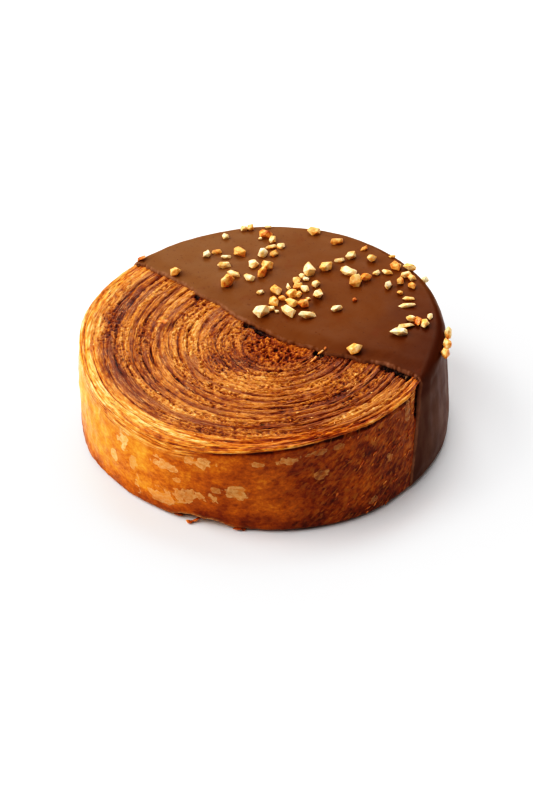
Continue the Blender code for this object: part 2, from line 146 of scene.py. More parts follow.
# Chopped nuts, each as it lies on the upright roll: x, y, length and width in millimetres, how
# many degrees its length is turned from +X, and how dark it is roasted, 0 to 1
NUTS = (
    (-43.1, 9.1, 3.5, 2.8, 5, 0.45), (-41, 35, 2.3, 1.8, 35, 0.1), (-38.5, 42.4, 2.3, 1.9, 35, 0.2),
    (-36.6, 43.8, 2.5, 2, 60, 0.5), (-39.9, 22.9, 2.9, 2.2, 90, 0.12), (-38.2, 26.4, 3.2, 1.7, 45, 0.55),
    (-33.8, 25.8, 3.2, 1.3, 45, 0.12), (-31.1, 30.2, 4.2, 2.8, 10, 0.6), (-31.2, 21.5, 4.5, 2.2, 45, 0.3),
    (-23, 27.2, 3.4, 3.1, -20, 0.1), (-23.8, 33.7, 3.3, 2.7, 105, 0.12), (-23.9, 38.8, 3.9, 1.5, 60, 0.2),
    (-20.7, 35.6, 2.9, 2.2, 70, 0.6), (-30.1, 43.3, 4.2, 3.1, 5, 0.8), (-32, 47.8, 2.3, 1.1, 35, 0.15),
    (-30.3, 40.9, 1.3, 1.1, 35, 0.1), (-26, 41.9, 2.6, 2.5, 35, 0.35), (-21.4, 40.9, 3.2, 1.7, 35, 0.3),
    (-18.1, 28.6, 3.9, 3.1, 20, 0.45), (-17.1, 24.1, 2.9, 3.1, -5, 0.7), (-24.9, 18.9, 4.8, 2.2, 30, 0.3),
    (-24, 13.4, 4.2, 3.9, -5, 0.55), (-19.5, 19.9, 3.9, 2.1, 5, 0.35), (-11.4, 15.5, 2.6, 1.5, 45, 0.05),
    (-16.4, 53.8, 4.5, 2.5, 35, 0.5), (-6.1, 53, 4.2, 2.2, 45, 0.75), (-4.2, 33.9, 4.5, 3.6, -35, 0.2),
    (-0.7, 38.9, 4.2, 3.3, 35, 0.45), (0.7, 44.7, 3.2, 1.7, 45, 0.2), (2.7, 48.6, 3.9, 2.5, 60, 0.3),
    (4.3, 42.1, 2.9, 1, 75, 0.3), (7.6, 40.4, 5.2, 2.5, 10, 0.25), (12.9, 36.8, 4.2, 3.6, 80, 0.45),
    (-4.5, 27, 2.9, 2.8, 90, 0.45), (-4.9, 30.7, 2.6, 1.4, 10, 0.15), (-2.9, 30, 1.9, 1.3, 20, 0.1),
    (-2.7, 24.8, 3.2, 1.9, 55, 0.5), (0.4, 24.9, 2.6, 2.2, 35, 0.2), (-5.4, 23.1, 2.4, 1.2, -35, 0.1),
    (-7.3, 18.8, 4.5, 3.1, -15, 0.6), (-1.6, 20.2, 3.9, 2.5, 20, 0.55), (0.4, 21.1, 2.3, 1.9, 5, 0.62),
    (1.9, 29.2, 2.9, 2.2, 70, 0.4), (6, 24.4, 6.1, 3, 110, 0.25), (3.9, 55, 3.2, 1.5, 60, 0.55),
    (9.6, 51, 3.2, 2.2, 10, 0.4), (14.4, 56.4, 2.3, 1, 20, 0.5), (19.3, 51.9, 3.9, 2.4, 10, 0.7),
    (23.1, 53.9, 3.9, 2.6, 20, 0.35), (24.8, 49.6, 3.5, 2.2, 55, 0.45), (27.5, 49.4, 2.9, 1.9, 35, 0.4),
    (25.3, 45.5, 4.1, 2.1, 115, 0.6), (30, 45.5, 3.2, 1.9, -15, 0.6), (29.6, 52.9, 2.9, 2.2, 100, 0.1),
    (23.2, 41.2, 3.2, 2.2, 90, 0.08), (15.5, 45.4, 2.6, 1.7, 70, 0.3), (18.3, 47.7, 3.9, 1.8, 20, 0.3),
    (14.2, 41, 3.9, 2.8, 0, 0.55), (28.7, 40.3, 1.9, 1.4, 35, 0.5), (32.6, 39.2, 3.9, 1.3, 35, 0.4),
    (34.6, 35.7, 5.5, 1.7, 30, 0.15), (18, 28.9, 1.6, 1.5, 95, 0.85), (-4.3, 6.3, 4.8, 3.3, 35, 0.2),
    (-4.1, 13.3, 3.9, 2.8, -5, 0.5), (-2.5, 10, 2.6, 1.8, 35, 0.2), (-0.4, 10, 1.6, 1.1, 35, 0.1),
    (-2.9, 16.5, 2.6, 1.7, 5, 0.6), (1.4, 16.1, 4.8, 2.5, 0, 0.4), (3.4, 11.6, 5.2, 3.1, 0, 0.2),
    (5.1, 17.5, 3.5, 3.1, 35, 0.65), (4.4, 21.3, 1.6, 1, 35, 0.1), (9.6, 13.3, 5.5, 2.1, 45, 0.12),
    (15.7, 21.7, 3.5, 1.8, 35, 0.15), (40.9, 21.8, 5.5, 3.1, 30, 0.2), (40.7, 26.1, 5.2, 1.8, 50, 0.25),
    (40, 30.1, 2.9, 1.9, 20, 0.2), (42.7, 30.2, 4.9, 2, 120, 0.75), (45.4, 30.1, 4.1, 2.4, -35, 0.35),
    (44.6, 34.5, 2.9, 1.5, 120, 0.2), (51.6, 33.7, 3.9, 2.5, -25, 0.35), (52.9, 32.2, 1.6, 1.4, 35, 0.7),
    (54.7, 28.4, 3.7, 2.4, -35, 0.5), (56.9, 24, 4.5, 2.6, 120, 0.7), (33.9, 6.5, 4.8, 3.3, 10, 0.45),
)
NUT_SIZE = 0.5 * 0.00128
NUT_THICKNESS_SHARE = (0.85, 1.15)
NUT_TILT = 0.14
NUT_POINTS = 9
NUT_REACH = (0.80, 1.20)
NUT_SINK = 0.26
NUT_SEED = 1366
NUT_ROUNDING = 0.00022
GOLDEN_ANGLE = pi * (3 - sqrt(5))

# The fine mesh of the dough: close together where it is bare, wide apart under the chocolate,
# where it also closes up
BARE_ANGLES = (radians(167), radians(374))
CLOSING_ANGLE = radians(90)
BARE_SEGMENTS = 396
COVERED_SEGMENTS = 14
TOP_ROWS = 250
HALVING_ROW = 108
RIM_STEPS = (0.0003, 0.0006, 0.0009, 0.0012, 0.0015, 0.0018, 0.0022, 0.0027, 0.0034)
WALL_ROWS = 34
FOOT_ROWS = 5
BASE_ROWS = 16

# Pale blisters in the skin of the side: the angle of the middle in degrees, then its height, half
# the width and half the height in millimetres, and how pale it is
BLISTERS = (
    (259, 24.4, 2.6, 3.8, 1), (245, 25.7, 0.9, 2.8, 0.8), (254.5, 14, 1.3, 2, 0.9),
    (263.5, 16, 1.4, 2.1, 0.5), (265, 7.8, 1.4, 4.2, 0.6), (272.5, 23.8, 1.4, 0.7, 0.8),
    (276, 21.4, 3.8, 1.4, 0.7), (284.5, 25.7, 1.9, 2, 0.6), (289, 25.8, 2.2, 2, 0.8),
    (292.7, 26.2, 1.3, 1.1, 0.4), (280.8, 16.7, 2.2, 0.8, 0.5), (293, 16.2, 1.6, 0.9, 0.5),
    (299, 15.6, 3, 2.1, 0.7), (273.5, 7.4, 5.2, 2, 0.55), (280, 10.4, 5.8, 2.1, 0.6),
    (287.5, 12.2, 5.6, 1.8, 0.6), (305, 27.2, 2, 1, 0.5), (314, 27.3, 2.9, 1.2, 0.5),
    (325, 20.1, 2.6, 1.2, 0.3), (326, 28.4, 6.2, 0.8, 0.3), (349, 17.5, 1.6, 2.2, 0.3),
    (358, 28, 1.4, 3, 0.3), (341, 5, 1.6, 1, 0.3), (228, 19, 2, 2.8, 0.6),
    (212, 12, 3, 1.8, 0.6), (197, 24, 2.6, 1.4, 0.6),
)

# Hollows under the edge of the chocolate, sunk into the dough and painted darker as shade: the middle
# along X and half the length
HOLLOWS = ((-0.0010, 0.0070), (0.0500, 0.0062), (0.0235, 0.0020), (-0.0300, 0.0012))

# Loose flakes of crust: x, y and height of the middle on the upright roll, length and width, all
# in millimetres, how many degrees the length is turned from +X and tipped up, and how dark it is
FLAKES = (
    (-29.8, -14.4, 35.4, 4.4, 2.0, 30, 12, 0.36),
    (-28.6, -14.9, 35.6, 1.8, 1.3, 80, 10, 0.35),
    (24.2, -3.2, 34.5, 5.2, 0.9, 92, 5, 0.25),
    (24.3, 0.6, 34.9, 3.4, 0.8, 80, 10, 0.35),
    (24.8, 2.4, 35.4, 1.5, 0.9, 110, 14, 0.70),
    (-58.3, 10.0, 35.7, 3.4, 3.0, 36, 14, 0.55),
    (-58.9, 9.6, 35.0, 2.8, 2.4, 10, 30, 0.66),
    (16.0, -57.9, 1.1, 3.6, 1.4, 58, 20, 0.70),
    (14.4, -59.6, 0.6, 2.8, 1.9, 15, 4, 0.55),
    (16.6, -57.2, 1.7, 1.6, 0.9, 120, 0, 0.85),
    (9.8, -59.0, 0.9, 3.8, 1.3, 20, 6, 0.75),
    (29.3, -53.3, 0.8, 3.6, 1.6, 28, 5, 0.70),
    (31.1, -52.3, 0.7, 1.7, 0.9, 70, 8, 0.85),
)
SMALL_FLAKES = 46
SIDE_FLAKES = 60
FLAKE_THICKNESS = 0.00045
FLAKE_SEED = 5

# The photograph's viewpoint and light: each softbox's direction counted from the camera's, its
# elevation in degrees, its size in metres and its power in watts
VIEW_AZIMUTH = radians(36.5)
VIEW_ELEVATION = radians(36.7)
VIEW_DISTANCE = 0.900
VIEW_TARGET = Vector((0.0002, 0.0014, 0.0170))
VIEW_DROP = radians(0.549)
LENS = 120.4
SOFTBOXES = {
    "key": (-97, 33, 1.9, 53.0),
    "back": (178, 43, 1.6, 27.0),
    "right_back": (146, 48, 1.7, 13.0),
    "right": (98, 22, 1.4, 11.5),
    "front": (-36, 50, 1.7, 18.5),
}
SOFTBOX_DISTANCE = 2.2
WORLD_STRENGTH = 0.15
FLOOR_REACH = 4.0
TONE_CURVE = ((0.05, 0.018), (0.20, 0.165), (0.50, 0.555), (0.80, 0.93))


def srgb(red, green, blue):
    """A colour given as 0 to 255 on screen, in linear light."""
    linear = []
    for level in (red, green, blue):
        share = level / 255
        linear.append(share / 12.92 if share <= 0.04045 else ((share + 0.055) / 1.055) ** 2.4)
    return (*linear, 1.0)


def clamp(value, low=0.0, high=1.0):
    return min(max(value, low), high)


def ease(value, low, high):
    """0 below low, 1 above high, and an even S between them."""
    share = clamp((value - low) / (high - low))
    return share * share * (3 - 2 * share)


def past(angle, low, high):
    """0 before an angle and 1 after another, both in degrees."""
    return ease(angle, radians(low), radians(high))


def bell(off, width):
    """1 at 0, falling off smoothly to both sides."""
    return exp(-((off / width) ** 2))


def bump(angle, height, middle, width):
    """A bell of a height round a middle, the short way round the circle."""
    return height * bell(remainder(angle - radians(middle), TAU), radians(width))


def polar(radius, angle, z):
    return Vector((radius * cos(angle), radius * sin(angle), z))


def wave(x, y, z):
    """Even noise at a place."""
    return noise.noise(Vector((x, y, z)))


def grit(x, y, z, size):
    """Even noise with grains of a size, all in metres."""
    return noise.noise(Vector((x, y, z)) / size)


def settle(point):
    """Where a point of the upright roll lies on the real one, which leans and rises to one side."""
    share = point.z / HEIGHT
    rise = RISE.x * point.x + RISE.y * point.y
    return Vector((point.x + LEAN.x * share, point.y + LEAN.y * share, point.z + share * rise))


def seam_offset(x):
    """How far the edge of the chocolate lies along +Y at x, on the top: a soft curve through SEAM."""
    for (x0, y0), (x1, y1) in zip(SEAM, SEAM[1:]):
        if x <= x1:
            return y0 + (y1 - y0) * ease(x, x0, x1)
    return SEAM[-1][1]


def behind_seam(x, y, z):
    """How far a point lies into the dipped part: positive under the chocolate."""
    return y - seam_offset(x) + SEAM_SLANT * (HEIGHT - z)


def side_radius(z):
    """The roll's radius at a height: below the top corner it spreads and swells a little."""
    share = clamp(z / (HEIGHT - COVERED_CORNER))
    return RADIUS + SIDE_SPREAD * (1 - share) + SIDE_BULGE * sin(pi * share)


def swell(angle, z):
    """How far the bare side swells out: at its rim on the left, at its foot on the right front."""
    bare = openness(RADIUS * cos(angle), RADIUS * sin(angle), z)
    at_rim = bump(angle, *RIM_SWELL) * ease(z, 0.25 * HEIGHT, 0.85 * HEIGHT)
    at_foot = bump(angle, *FOOT_SWELL) - bump(angle, *FOOT_TUCK)
    return bare * (at_rim + at_foot * (1 - ease(z, 0.06 * HEIGHT, 0.55 * HEIGHT)))


def spiral_point(share, angle):
    """A point of the rolled strip from above: share is 0 at the heart and 1 at the rim."""
    middle = SPIRAL_CENTRE * (1 - share**1.4)
    reach = RADIUS * share + swell(angle, HEIGHT) * share**8
    return middle.x + reach * cos(angle), middle.y + reach * sin(angle)


def lip_share(angle):
    """1 where the rim stands up as a lip, 0 where it slopes off into a shoulder."""
    return past(angle % TAU, *LIP_ANGLES)


def rim_offset(share, angle):
    """How far the last turns rise above the level of the top, or fall below it."""
    lift = bump(angle, *RIM_LIFT) * ease(share, 0.80, 1.0)
    slope = max(share - SHOULDER_SHARE, 0.0) / (1 - SHOULDER_SHARE)
    soft = (1 - lip_share(angle)) * past(angle % TAU, 205, 240)
    reach = clamp((slope - 0.55) / 0.45)
    brow = SOFT_BROW * soft * (1 - sqrt(1 - reach**2))
    return lift - brow - bump(angle, *SHOULDER_DROP) * slope**1.6


def grain(share, angle):
    """Where a point lies in the grain of the dough: across it, and round it, in millimetres."""
    round_it = 0.6 * RADIUS / MM
    return Vector((share * RADIUS / MM, round_it * cos(angle), round_it * sin(angle)))


def streak(place, across, along, layer):
    """Noise drawn out along the grain: streaks this wide and this long, in millimetres."""
    return wave(place.x / across + 17.0 * layer, place.y / along, place.z / along)


# What the mesh of the dough carries at each vertex for its material
DOUGH_FIELDS = (
    "turn", "relief", "bake", "crumb", "heart", "flat", "rim", "skin", "flaky", "cream", "blister",
    "paleness",
)
VECTOR_FIELDS = ("grain", "skin_place")


def make_mesh(name, points, faces, values):
    """A smooth mesh that carries values at its vertices."""
    mesh = bpy.data.meshes.new(name)
    mesh.from_pydata(points, [], faces)
    for field, column in values.items():
        kind, key = ("FLOAT_VECTOR", "vector") if field in VECTOR_FIELDS else ("FLOAT", "value")
        mesh.attributes.new(field, kind, "POINT").data.foreach_set(key, column)
    mesh.shade_smooth()
    return mesh


class Surface:
    """Collects the vertices, faces and per-vertex values of a mesh."""

    def __init__(self):
        self.points = []
        self.faces = []
        self.values = {field: [] for field in DOUGH_FIELDS + VECTOR_FIELDS}

    def add(self, point, place, skin_place=(0, 0, 0), **values):
        self.points.append(settle(point))
        self.values["grain"].extend(place)
        self.values["skin_place"].extend(skin_place)
        for field in DOUGH_FIELDS:
            self.values[field].append(values.get(field, 0.0))
        return len(self.points) - 1

    def close(self, middle, ring):
        """Triangles between a closed row and a vertex in its middle."""
        for vertex, beside in zip(ring, ring[1:] + ring[:1]):
            self.faces.append((middle, vertex, beside))

    def join_rows(self, upper, lower):
        """Quads between two closed rows of vertices; the lower row may have twice as many."""
        count = len(upper)
        twice = len(lower) == 2 * count
        for i in range(count):
            j = (i + 1) % count
            if twice:
                self.faces.append((upper[i], lower[2 * i], lower[2 * i + 1]))
                self.faces.append((upper[i], lower[2 * i + 1], lower[2 * j], upper[j]))
            else:
                self.faces.append((upper[i], lower[i], lower[j], upper[j]))


def segment_angles():
    start, end = BARE_ANGLES
    spans = (
        (CLOSING_ANGLE, start, COVERED_SEGMENTS),
        (start, end, BARE_SEGMENTS),
        (end, CLOSING_ANGLE + TAU, COVERED_SEGMENTS),
    )
    return [low + (high - low) * i / count for low, high, count in spans for i in range(count)]


def openness(x, y, z):
    """1 where the dough is bare, and 0 from a little behind the edge of the chocolate."""
    return ease(-behind_seam(x, y, z), -0.0040, -0.0014)


def crumbled(share, angle):
    """1 in the open crumb inside the right rim."""
    return bump(angle, *CRUMBLED) * ease(share, 0.80, 0.86)


def crumb_zone(place, share, angle):
    """1 where the cut layers have puffed up into open crumb, 0 where they lie close together."""
    more = bump(angle, *PUFFED) + 0.30 * crumbled(share, angle)
    return ease(streak(place, 3.4, 22.0, 5) + more, 0.02, 0.20)


def smooth_band(place):
    """1 where one leaf of the dough lies flat and smooth."""
    return ease(streak(place, 2.4, 24.0, 9), 0.20, 0.32)


def strip_turn(share, angle, place):
    """How many turns of the strip lie inside a point, with the wandering of the real layers."""
    wander = 0.40 * streak(place, 9.0, 26.0, 1) + 0.17 * streak(place, 3.0, 12.0, 2)
    return share * TURNS - angle / TAU + wander


def saw(value):
    """1 at whole numbers, falling straight to 0 half-way between them."""
    return 1 - 2 * abs(value - round(value))


def leaf_relief(turn, place, smooth):
    """The height of the turns and of the leaves of dough in each turn."""
    from_groove = abs(turn - round(turn))
    strength = clamp(0.60 + 2.2 * streak(place, 2.4, 13.0, 3), 0.0, 1.7)
    groove = strength * bell(from_groove, 0.085)
    dome = sin(pi * from_groove) ** 0.6
    height = 0.50 * RIDGE_HEIGHT * (dome - 0.55) - GROOVE_DEPTH * groove
    leaf = saw(2.7 * turn + 1.7 * streak(place, 2.0, 9.0, 6))
    proud = clamp(0.50 + 2.0 * streak(place, 3.0, 9.0, 7), 0.0, 1.6) * (1 - 0.9 * smooth)
    thin = saw(4.6 * turn + 1.5 * streak(place, 1.6, 6.0, 11))
    ruffle = 0.00028 * streak(place, 0.9, 1.9, 10) + 0.00010 * (thin - 0.5) * (1 - smooth)
    return height + 0.00052 * proud * (leaf**3 - 0.25) + ruffle


def ridged(x, y, layer, size):
    """Worm-like ridges of a size: 1 along their tops, below 0 between them."""
    return 1 - 5.0 * abs(grit(x, y, layer * size * 9.7, size))


def hollow_at(x, from_seam):
    """1 in the hollows under the edge of the chocolate, 0 away from them."""
    inside = max(1 - abs((x - middle) / half) ** 3 for middle, half in HOLLOWS)
    reach = 0.0009 * (1.0 + 1.4 * grit(x, 0, 40, 0.0017))
    return ease(inside, 0.0, 0.5) * bell(from_seam, max(reach, 0.0003))


def dark_ring(share, angle):
    """1 in the middle of the dark, fluted ring inside the left rim."""
    return bell(share - 0.862, 0.045) * bump(angle, *DARK_RING)


def bake_and_shade_round(angle):
    """How dark the rim and the side are at an angle: palest at the left front and darker round to the
    right, partly baking and partly painted shade on the side turned from the key light.
    """
    turned = remainder(angle - radians(240), TAU)
    # darker round to the right: partly baking, partly painted shade on the side turned from the key light
    bake = 0.28 + 0.41 * past(turned, 0, 95)
    return bake + 0.14 * past(-turned, 10, 60)


def top_bake_and_shade(share, angle, x, y, place, rim):
    """How dark the top is baked: darker to the heart, and in a ring inside the left rim; the rim takes
    the round's baking and painted shade.
    """
    bake = 0.52 + 0.14 * (1 - ease(share, 0.15, 0.55))
    bake += 0.43 * dark_ring(share, angle) + 0.15 * past(angle, 312, 350)
    bake += bump(angle, *DARK_FRONT) * ease(share, 0.4, 0.7)
    bake -= 0.22 * crumbled(share, angle)
    bake += 0.20 * streak(place, 5.0, 26.0, 8) + 0.13 * grit(x, y, 4, 0.012)
    return bake + rim * (bake_and_shade_round(angle) + 0.15 * streak(place, 1.6, 14.0, 18) - bake)


def heart_share(share, x, y):
    """1 in the burnt heart, which has a ragged edge."""
    ragged = share + 0.06 * grit(x, y, 0, 0.0040)
    return 1 - ease(ragged, 0.9 * HEART_SHARE, 1.75 * HEART_SHARE)


def rim_share(share, angle, place):
    """1 in the last turns, which make the rim."""
    start = 0.875 + 0.035 * bump(angle, *DARK_RING) + 0.05 * crumbled(share, angle)
    return ease(share + 0.03 * streak(place, 3.0, 16.0, 7), start, start + 0.07)


def covered_drop(share, from_seam):
    """How far the top rounds down to the side where the chocolate covers it."""
    reach = max(COVERED_CORNER - RADIUS * (1 - share), 0.0)
    drop = COVERED_CORNER - sqrt(COVERED_CORNER**2 - reach**2)
    return ease(-from_seam, *COVERED_FROM) * drop


def top_vertex(surface, share, angle):
    """One vertex of the bare or covered top."""
    x, y = spiral_point(share, angle)
    place = grain(share, angle)
    turn = strip_turn(share, angle, place)
    rim, heart = rim_share(share, angle, place), heart_share(share, x, y)
    smooth = smooth_band(place) * ease(share, 0.25, 0.4) * (1 - rim)
    crumb = crumb_zone(place, share, angle) * ease(share, 0.15, 0.3) * (1 - smooth) * (1 - rim)
    height = leaf_relief(turn, place, smooth) * (1 - 0.35 * rim * (1 - lip_share(angle)))
    worms = 0.00022 * ridged(x, y, 1, 0.00135) + 0.00018 * grit(x, y, 1, 0.0006)
    height += crumb * (worms - 0.45 * height)
    height += 0.00030 * dark_ring(share, angle) * wave(place.x / 4, place.y / 0.5, place.z / 0.5)
    burnt = 0.00036 * ridged(x, y, 2, 0.0015) + 0.0006 * grit(x, y, 3, 0.0007) - 0.3 * HEART_DEPTH
    height += heart * (burnt - height)

    from_seam = -behind_seam(x, y, HEIGHT)
    if height < 0:
        height *= 0.35 + 0.65 * ease(from_seam, -0.0003, 0.0026)
    hollow = hollow_at(x, from_seam)
    height -= 0.0014 * hollow
    bare = openness(x, y, HEIGHT)
    z = HEIGHT + bare * (height + rim_offset(share, angle)) - (1 - bare) * COVERED_SINK
    return surface.add(
        Vector((x, y, z - covered_drop(share, from_seam))), place,
        turn=turn, relief=0.5 + height / 0.0016 + 0.25 * heart,
        # the hollows under the chocolate's edge are painted darker here, as shade
        bake=top_bake_and_shade(share, angle, x, y, place, rim) + 0.3 * hollow,
        crumb=crumb, heart=heart, flat=smooth, rim=rim,
    )


def lay_top(surface, angles):
    """The laminated top, from the rim in to the heart. Returns the row along the rim."""
    rows = []
    for row in range(TOP_ROWS, 0, -1):
        share = row / TOP_ROWS
        step = 1 if row > HALVING_ROW else 2
        rows.append([top_vertex(surface, share, angle) for angle in angles[::step]])
    for outer, inner in zip(rows, rows[1:]):
        surface.join_rows(inner, outer)
    surface.close(top_vertex(surface, 0.0, 0.0), rows[-1])
    return rows[0]


def blister_field(angle, z):
    """Above 0.5 inside a blister of the skin, falling off smoothly outside it, and its paleness."""
    field, pale = 0.0, 0.0
    arc = RADIUS * angle
    uneven = 0.62 * grit(arc, z, 5, 0.0032) + 0.42 * grit(arc, z, 6, 0.0011)
    for degrees, middle, half_width, half_height, paleness in BLISTERS:
        off = remainder(angle - radians(degrees), TAU) * RADIUS / MM / half_width
        here = 1.0 - 0.5 * hypot(off, (z / MM - middle) / half_height)
        if here > field:
            field, pale = here, paleness
    return field + uneven * min(1.0, 2.5 * field), pale


def crease(angle, below):
    """1 in the dark crease below the lip of the rim: painted shade in the crease."""
    broken = ease(wave(RADIUS * angle / 0.006, 3, 8), -0.35, 0.05)
    return broken * lip_share(angle) * bell(below - 0.0019, 0.0005)


def side_out(angle, z, rim_z):
    """How far the skin of the side stands out from the even wall at an angle and height."""
    arc = RADIUS * angle
    below = rim_z - z
    lip = lip_share(angle)
    peel = 1.0 + 0.5 * grit(arc, 0, 7, 0.009)
    out = LIP_OUT * lip * bell(below - 0.0007, 0.0007) * peel
    out -= CREASE_IN * lip * peel * bell(below - 0.0019, 0.0005)
    second = past(angle % TAU, 318, 335)
    out += 0.0004 * second * bell(below - 0.0030, 0.0005)
    out -= 0.0004 * second * bell(below - 0.0038, 0.0004)
    shoulder = (1 - lip) * (1 - ease(below, 0.0, 0.0060))
    fan = below - 0.10 * arc
    out += 0.00024 * shoulder * wave(fan / 0.00065, arc / 0.011, 9)
    out += 0.00055 * grit(arc, z, 10, 0.016) + 0.00024 * grit(arc, 1.3 * z, 11, 0.0050)
    out -= 0.0012 * beside_coat(angle, z)
    flaky = flakiness(angle, z)
    weave = wave((arc - z) / 0.0007, (arc + z) / 0.0034, 12)
    return out + (0.00006 + 0.00016 * flaky) * weave + 0.00010 * grit(arc, z, 16, 0.0019)


def beside_coat(angle, z):
    """1 in the dark gap between the dough and the chocolate, high on the right side: painted shade in the
    gap.
    """
    depth = behind_seam(side_radius(z) * cos(angle), side_radius(z) * sin(angle), z)
    high = ease(z, 0.0225, 0.0250) * past(angle, 300, 320)
    return high * bell(depth + 0.0004, 0.0009)


def flakiness(angle, z):
    """How far the skin of the side has broken up into small slanting flakes."""
    right = past(angle, 296, 338)
    return right * (0.75 + 0.5 * grit(RADIUS * angle, z, 17, 0.008))


def side_bake_and_shade(angle, z):
    """How dark the skin of the side is: the round's baking and painted shade, darker towards the foot and
    most so on the left, and painted shade in the gap beside the chocolate.
    """
    arc = RADIUS * angle
    bake = bake_and_shade_round(angle)
    left = 1 - past(angle, 285, 315)
    bake += (0.10 + 0.24 * left) * (1 - ease(z, 0.0010, 0.0090))
    # painted shade in the gap beside the chocolate
    bake += 0.5 * beside_coat(angle, z)
    bake += 0.13 * grit(arc, z, 13, 0.0120) + 0.09 * grit(arc, 1.3 * z, 14, 0.0048)
    return bake


def side_vertex(surface, angle, z, rim_z, inset=0.0):
    place = grain(1.0, angle) + Vector(((rim_z - z) / MM, 0, 0))
    radius = side_radius(z)
    x, y = radius * cos(angle), radius * sin(angle)
    bare = openness(x, y, z)
    out = side_out(angle, z, rim_z) * bare * (1 - ease(inset, 0.0, 0.0010))
    radius += out + swell(angle, z) - inset
    below = rim_z - z
    fan = 1.0 + 0.5 * wave(place.y / 7.0, place.z / 7.0, 15)
    skin_start = (0.0011 + 0.0046 * (1 - lip_share(angle))) * fan
    foot_line = bump(angle, *CREAM_FOOT) * (1 - ease(z - foot_lift(angle), 0.0009, 0.0018))
    blister, paleness = blister_field(angle, z)
    return surface.add(
        polar(radius, angle, z), place, skin_place=(RADIUS * angle / MM, z / MM, 0.0),
        turn=(below / MM - 0.1 * RADIUS * angle / MM) / 1.3, relief=0.5 + out / 0.0012,
        # the crease is painted darker, as shade
        bake=side_bake_and_shade(angle, z) + 0.40 * crease(angle, below), rim=1.0,
        skin=ease(below, 0.35 * skin_start, 1.25 * skin_start), flaky=flakiness(angle, z),
        cream=foot_line, blister=blister, paleness=paleness,
    )


def foot_lift(angle):
    """How far the edge of the foot stands off the tray at an angle."""
    rises, high, falls, down = CHIP_ANGLES
    chipped = past(angle % TAU, rises, high) * (1 - past(angle % TAU, falls, down))
    ragged = 1 + 0.35 * wave(angle * 14, 0, 21) + 0.25 * wave(angle * 45, 0, 22)
    return FOOT_LIFT + CHIP_HEIGHT * chipped * ragged + 0.00025 * wave(angle * 30, 0, 23)


def rim_height(angle):
    """The height of the rim, which rounds down where the chocolate covers it."""
    x, y = spiral_point(1.0, angle)
    covered = ease(behind_seam(x, y, HEIGHT), *COVERED_FROM)
    return HEIGHT + rim_offset(1.0, angle) - covered * COVERED_CORNER


def side_levels(angle, rim_z):
    """The heights and insets from below the rim, down the wall, round the foot and under it."""
    lift = foot_lift(angle)
    top, foot = rim_z - RIM_STEPS[-1], FOOT_CORNER + lift
    levels = [(rim_z - step, 0.0) for step in RIM_STEPS]
    levels += [(top + (foot - top) * i / WALL_ROWS, 0.0) for i in range(1, WALL_ROWS + 1)]
    for i in range(1, FOOT_ROWS + 1):
        slope = 0.5 * pi * i / FOOT_ROWS
        levels.append((lift + FOOT_CORNER * (1 - sin(slope)), FOOT_CORNER * (1 - cos(slope))))
    return [*levels, (0.0, FOOT_CORNER + UNDERCUT * lift)]


def lay_side(surface, angles, rim):
    """The side from the rim down to the base. Returns the row along the base."""
    rim_heights = [rim_height(angle) for angle in angles]
    columns = [side_levels(angle, rim_z) for angle, rim_z in zip(angles, rim_heights)]
    upper = rim
    for level in zip(*columns):
        spots = zip(angles, rim_heights, level)
        lower = [side_vertex(surface, angle, z, rim_z, inset) for angle, rim_z, (z, inset) in spots]
        surface.join_rows(upper, lower)
        upper = lower
    return upper


def base_vertex(surface, share, angle):
    """One vertex of the underside, where the turns of the strip show faintly."""
    place = grain(share, angle)
    inset = FOOT_CORNER + UNDERCUT * foot_lift(angle)
    reach = (side_radius(0.0) + swell(angle, 0.0) - inset) * share
    turn = share * TURNS / 2 - angle / TAU + 0.2 * streak(place, 9.0, 25.0, 24)
    z = 0.00025 * ease(1 - share, 0.0, 0.04) * (0.5 + 0.5 * cos(TAU * turn))
    bake = 0.55 + 0.3 * streak(place, 6.0, 20.0, 25)
    return surface.add(polar(reach, angle, z), place, relief=0.5, bake=bake, skin=1.0)


def lay_base(surface, angles, foot):
    """The flat underside."""
    outer = foot
    for row in range(BASE_ROWS - 1, 0, -1):
        inner = [base_vertex(surface, row / BASE_ROWS, angle) for angle in angles]
        surface.join_rows(outer, inner)
        outer = inner
    middle = surface.add(Vector((0, 0, 0)), grain(0.0, 0.0), relief=0.5, bake=0.6, skin=1.0)
    surface.close(middle, outer[::-1])


def rolled_dough():
    surface = Surface()
    angles = segment_angles()
    rim = lay_top(surface, angles)
    foot = lay_side(surface, angles, rim)
    lay_base(surface, angles, foot)
    mesh = make_mesh("rolled_dough", surface.points, surface.faces, surface.values)
    return add_object("rolled_dough", mesh)


def add_object(name, mesh):
    made = bpy.data.objects.new(name, mesh)
    bpy.context.scene.collection.objects.link(made)
    return made


def seam_wiggle(x, z):
    """The small teeth of the chocolate's edge, where it ran into the layers."""
    teeth = 0.00042 * grit(x, z, 31, 0.0021) + 0.00030 * grit(x, z, 32, 0.0008)
    return teeth + 0.00060 * grit(x, 0.6 * z, 33, 0.0075)


def into_coat(x, y, z):
    """How far a point lies behind the wavering edge of the chocolate."""
    return behind_seam(x, y, z) - seam_wiggle(x, z)


def seam_angle(radius, z, low, high):
    """The angle between low and high where a level circle crosses the edge of the chocolate."""
    inside_low = into_coat(radius * cos(low), radius * sin(low), z) > 0
    for _ in range(30):
        middle = 0.5 * (low + high)
        inside = into_coat(radius * cos(middle), radius * sin(middle), z) > 0
        if inside == inside_low:
            low = middle
        else:
            high = middle
    return 0.5 * (low + high)


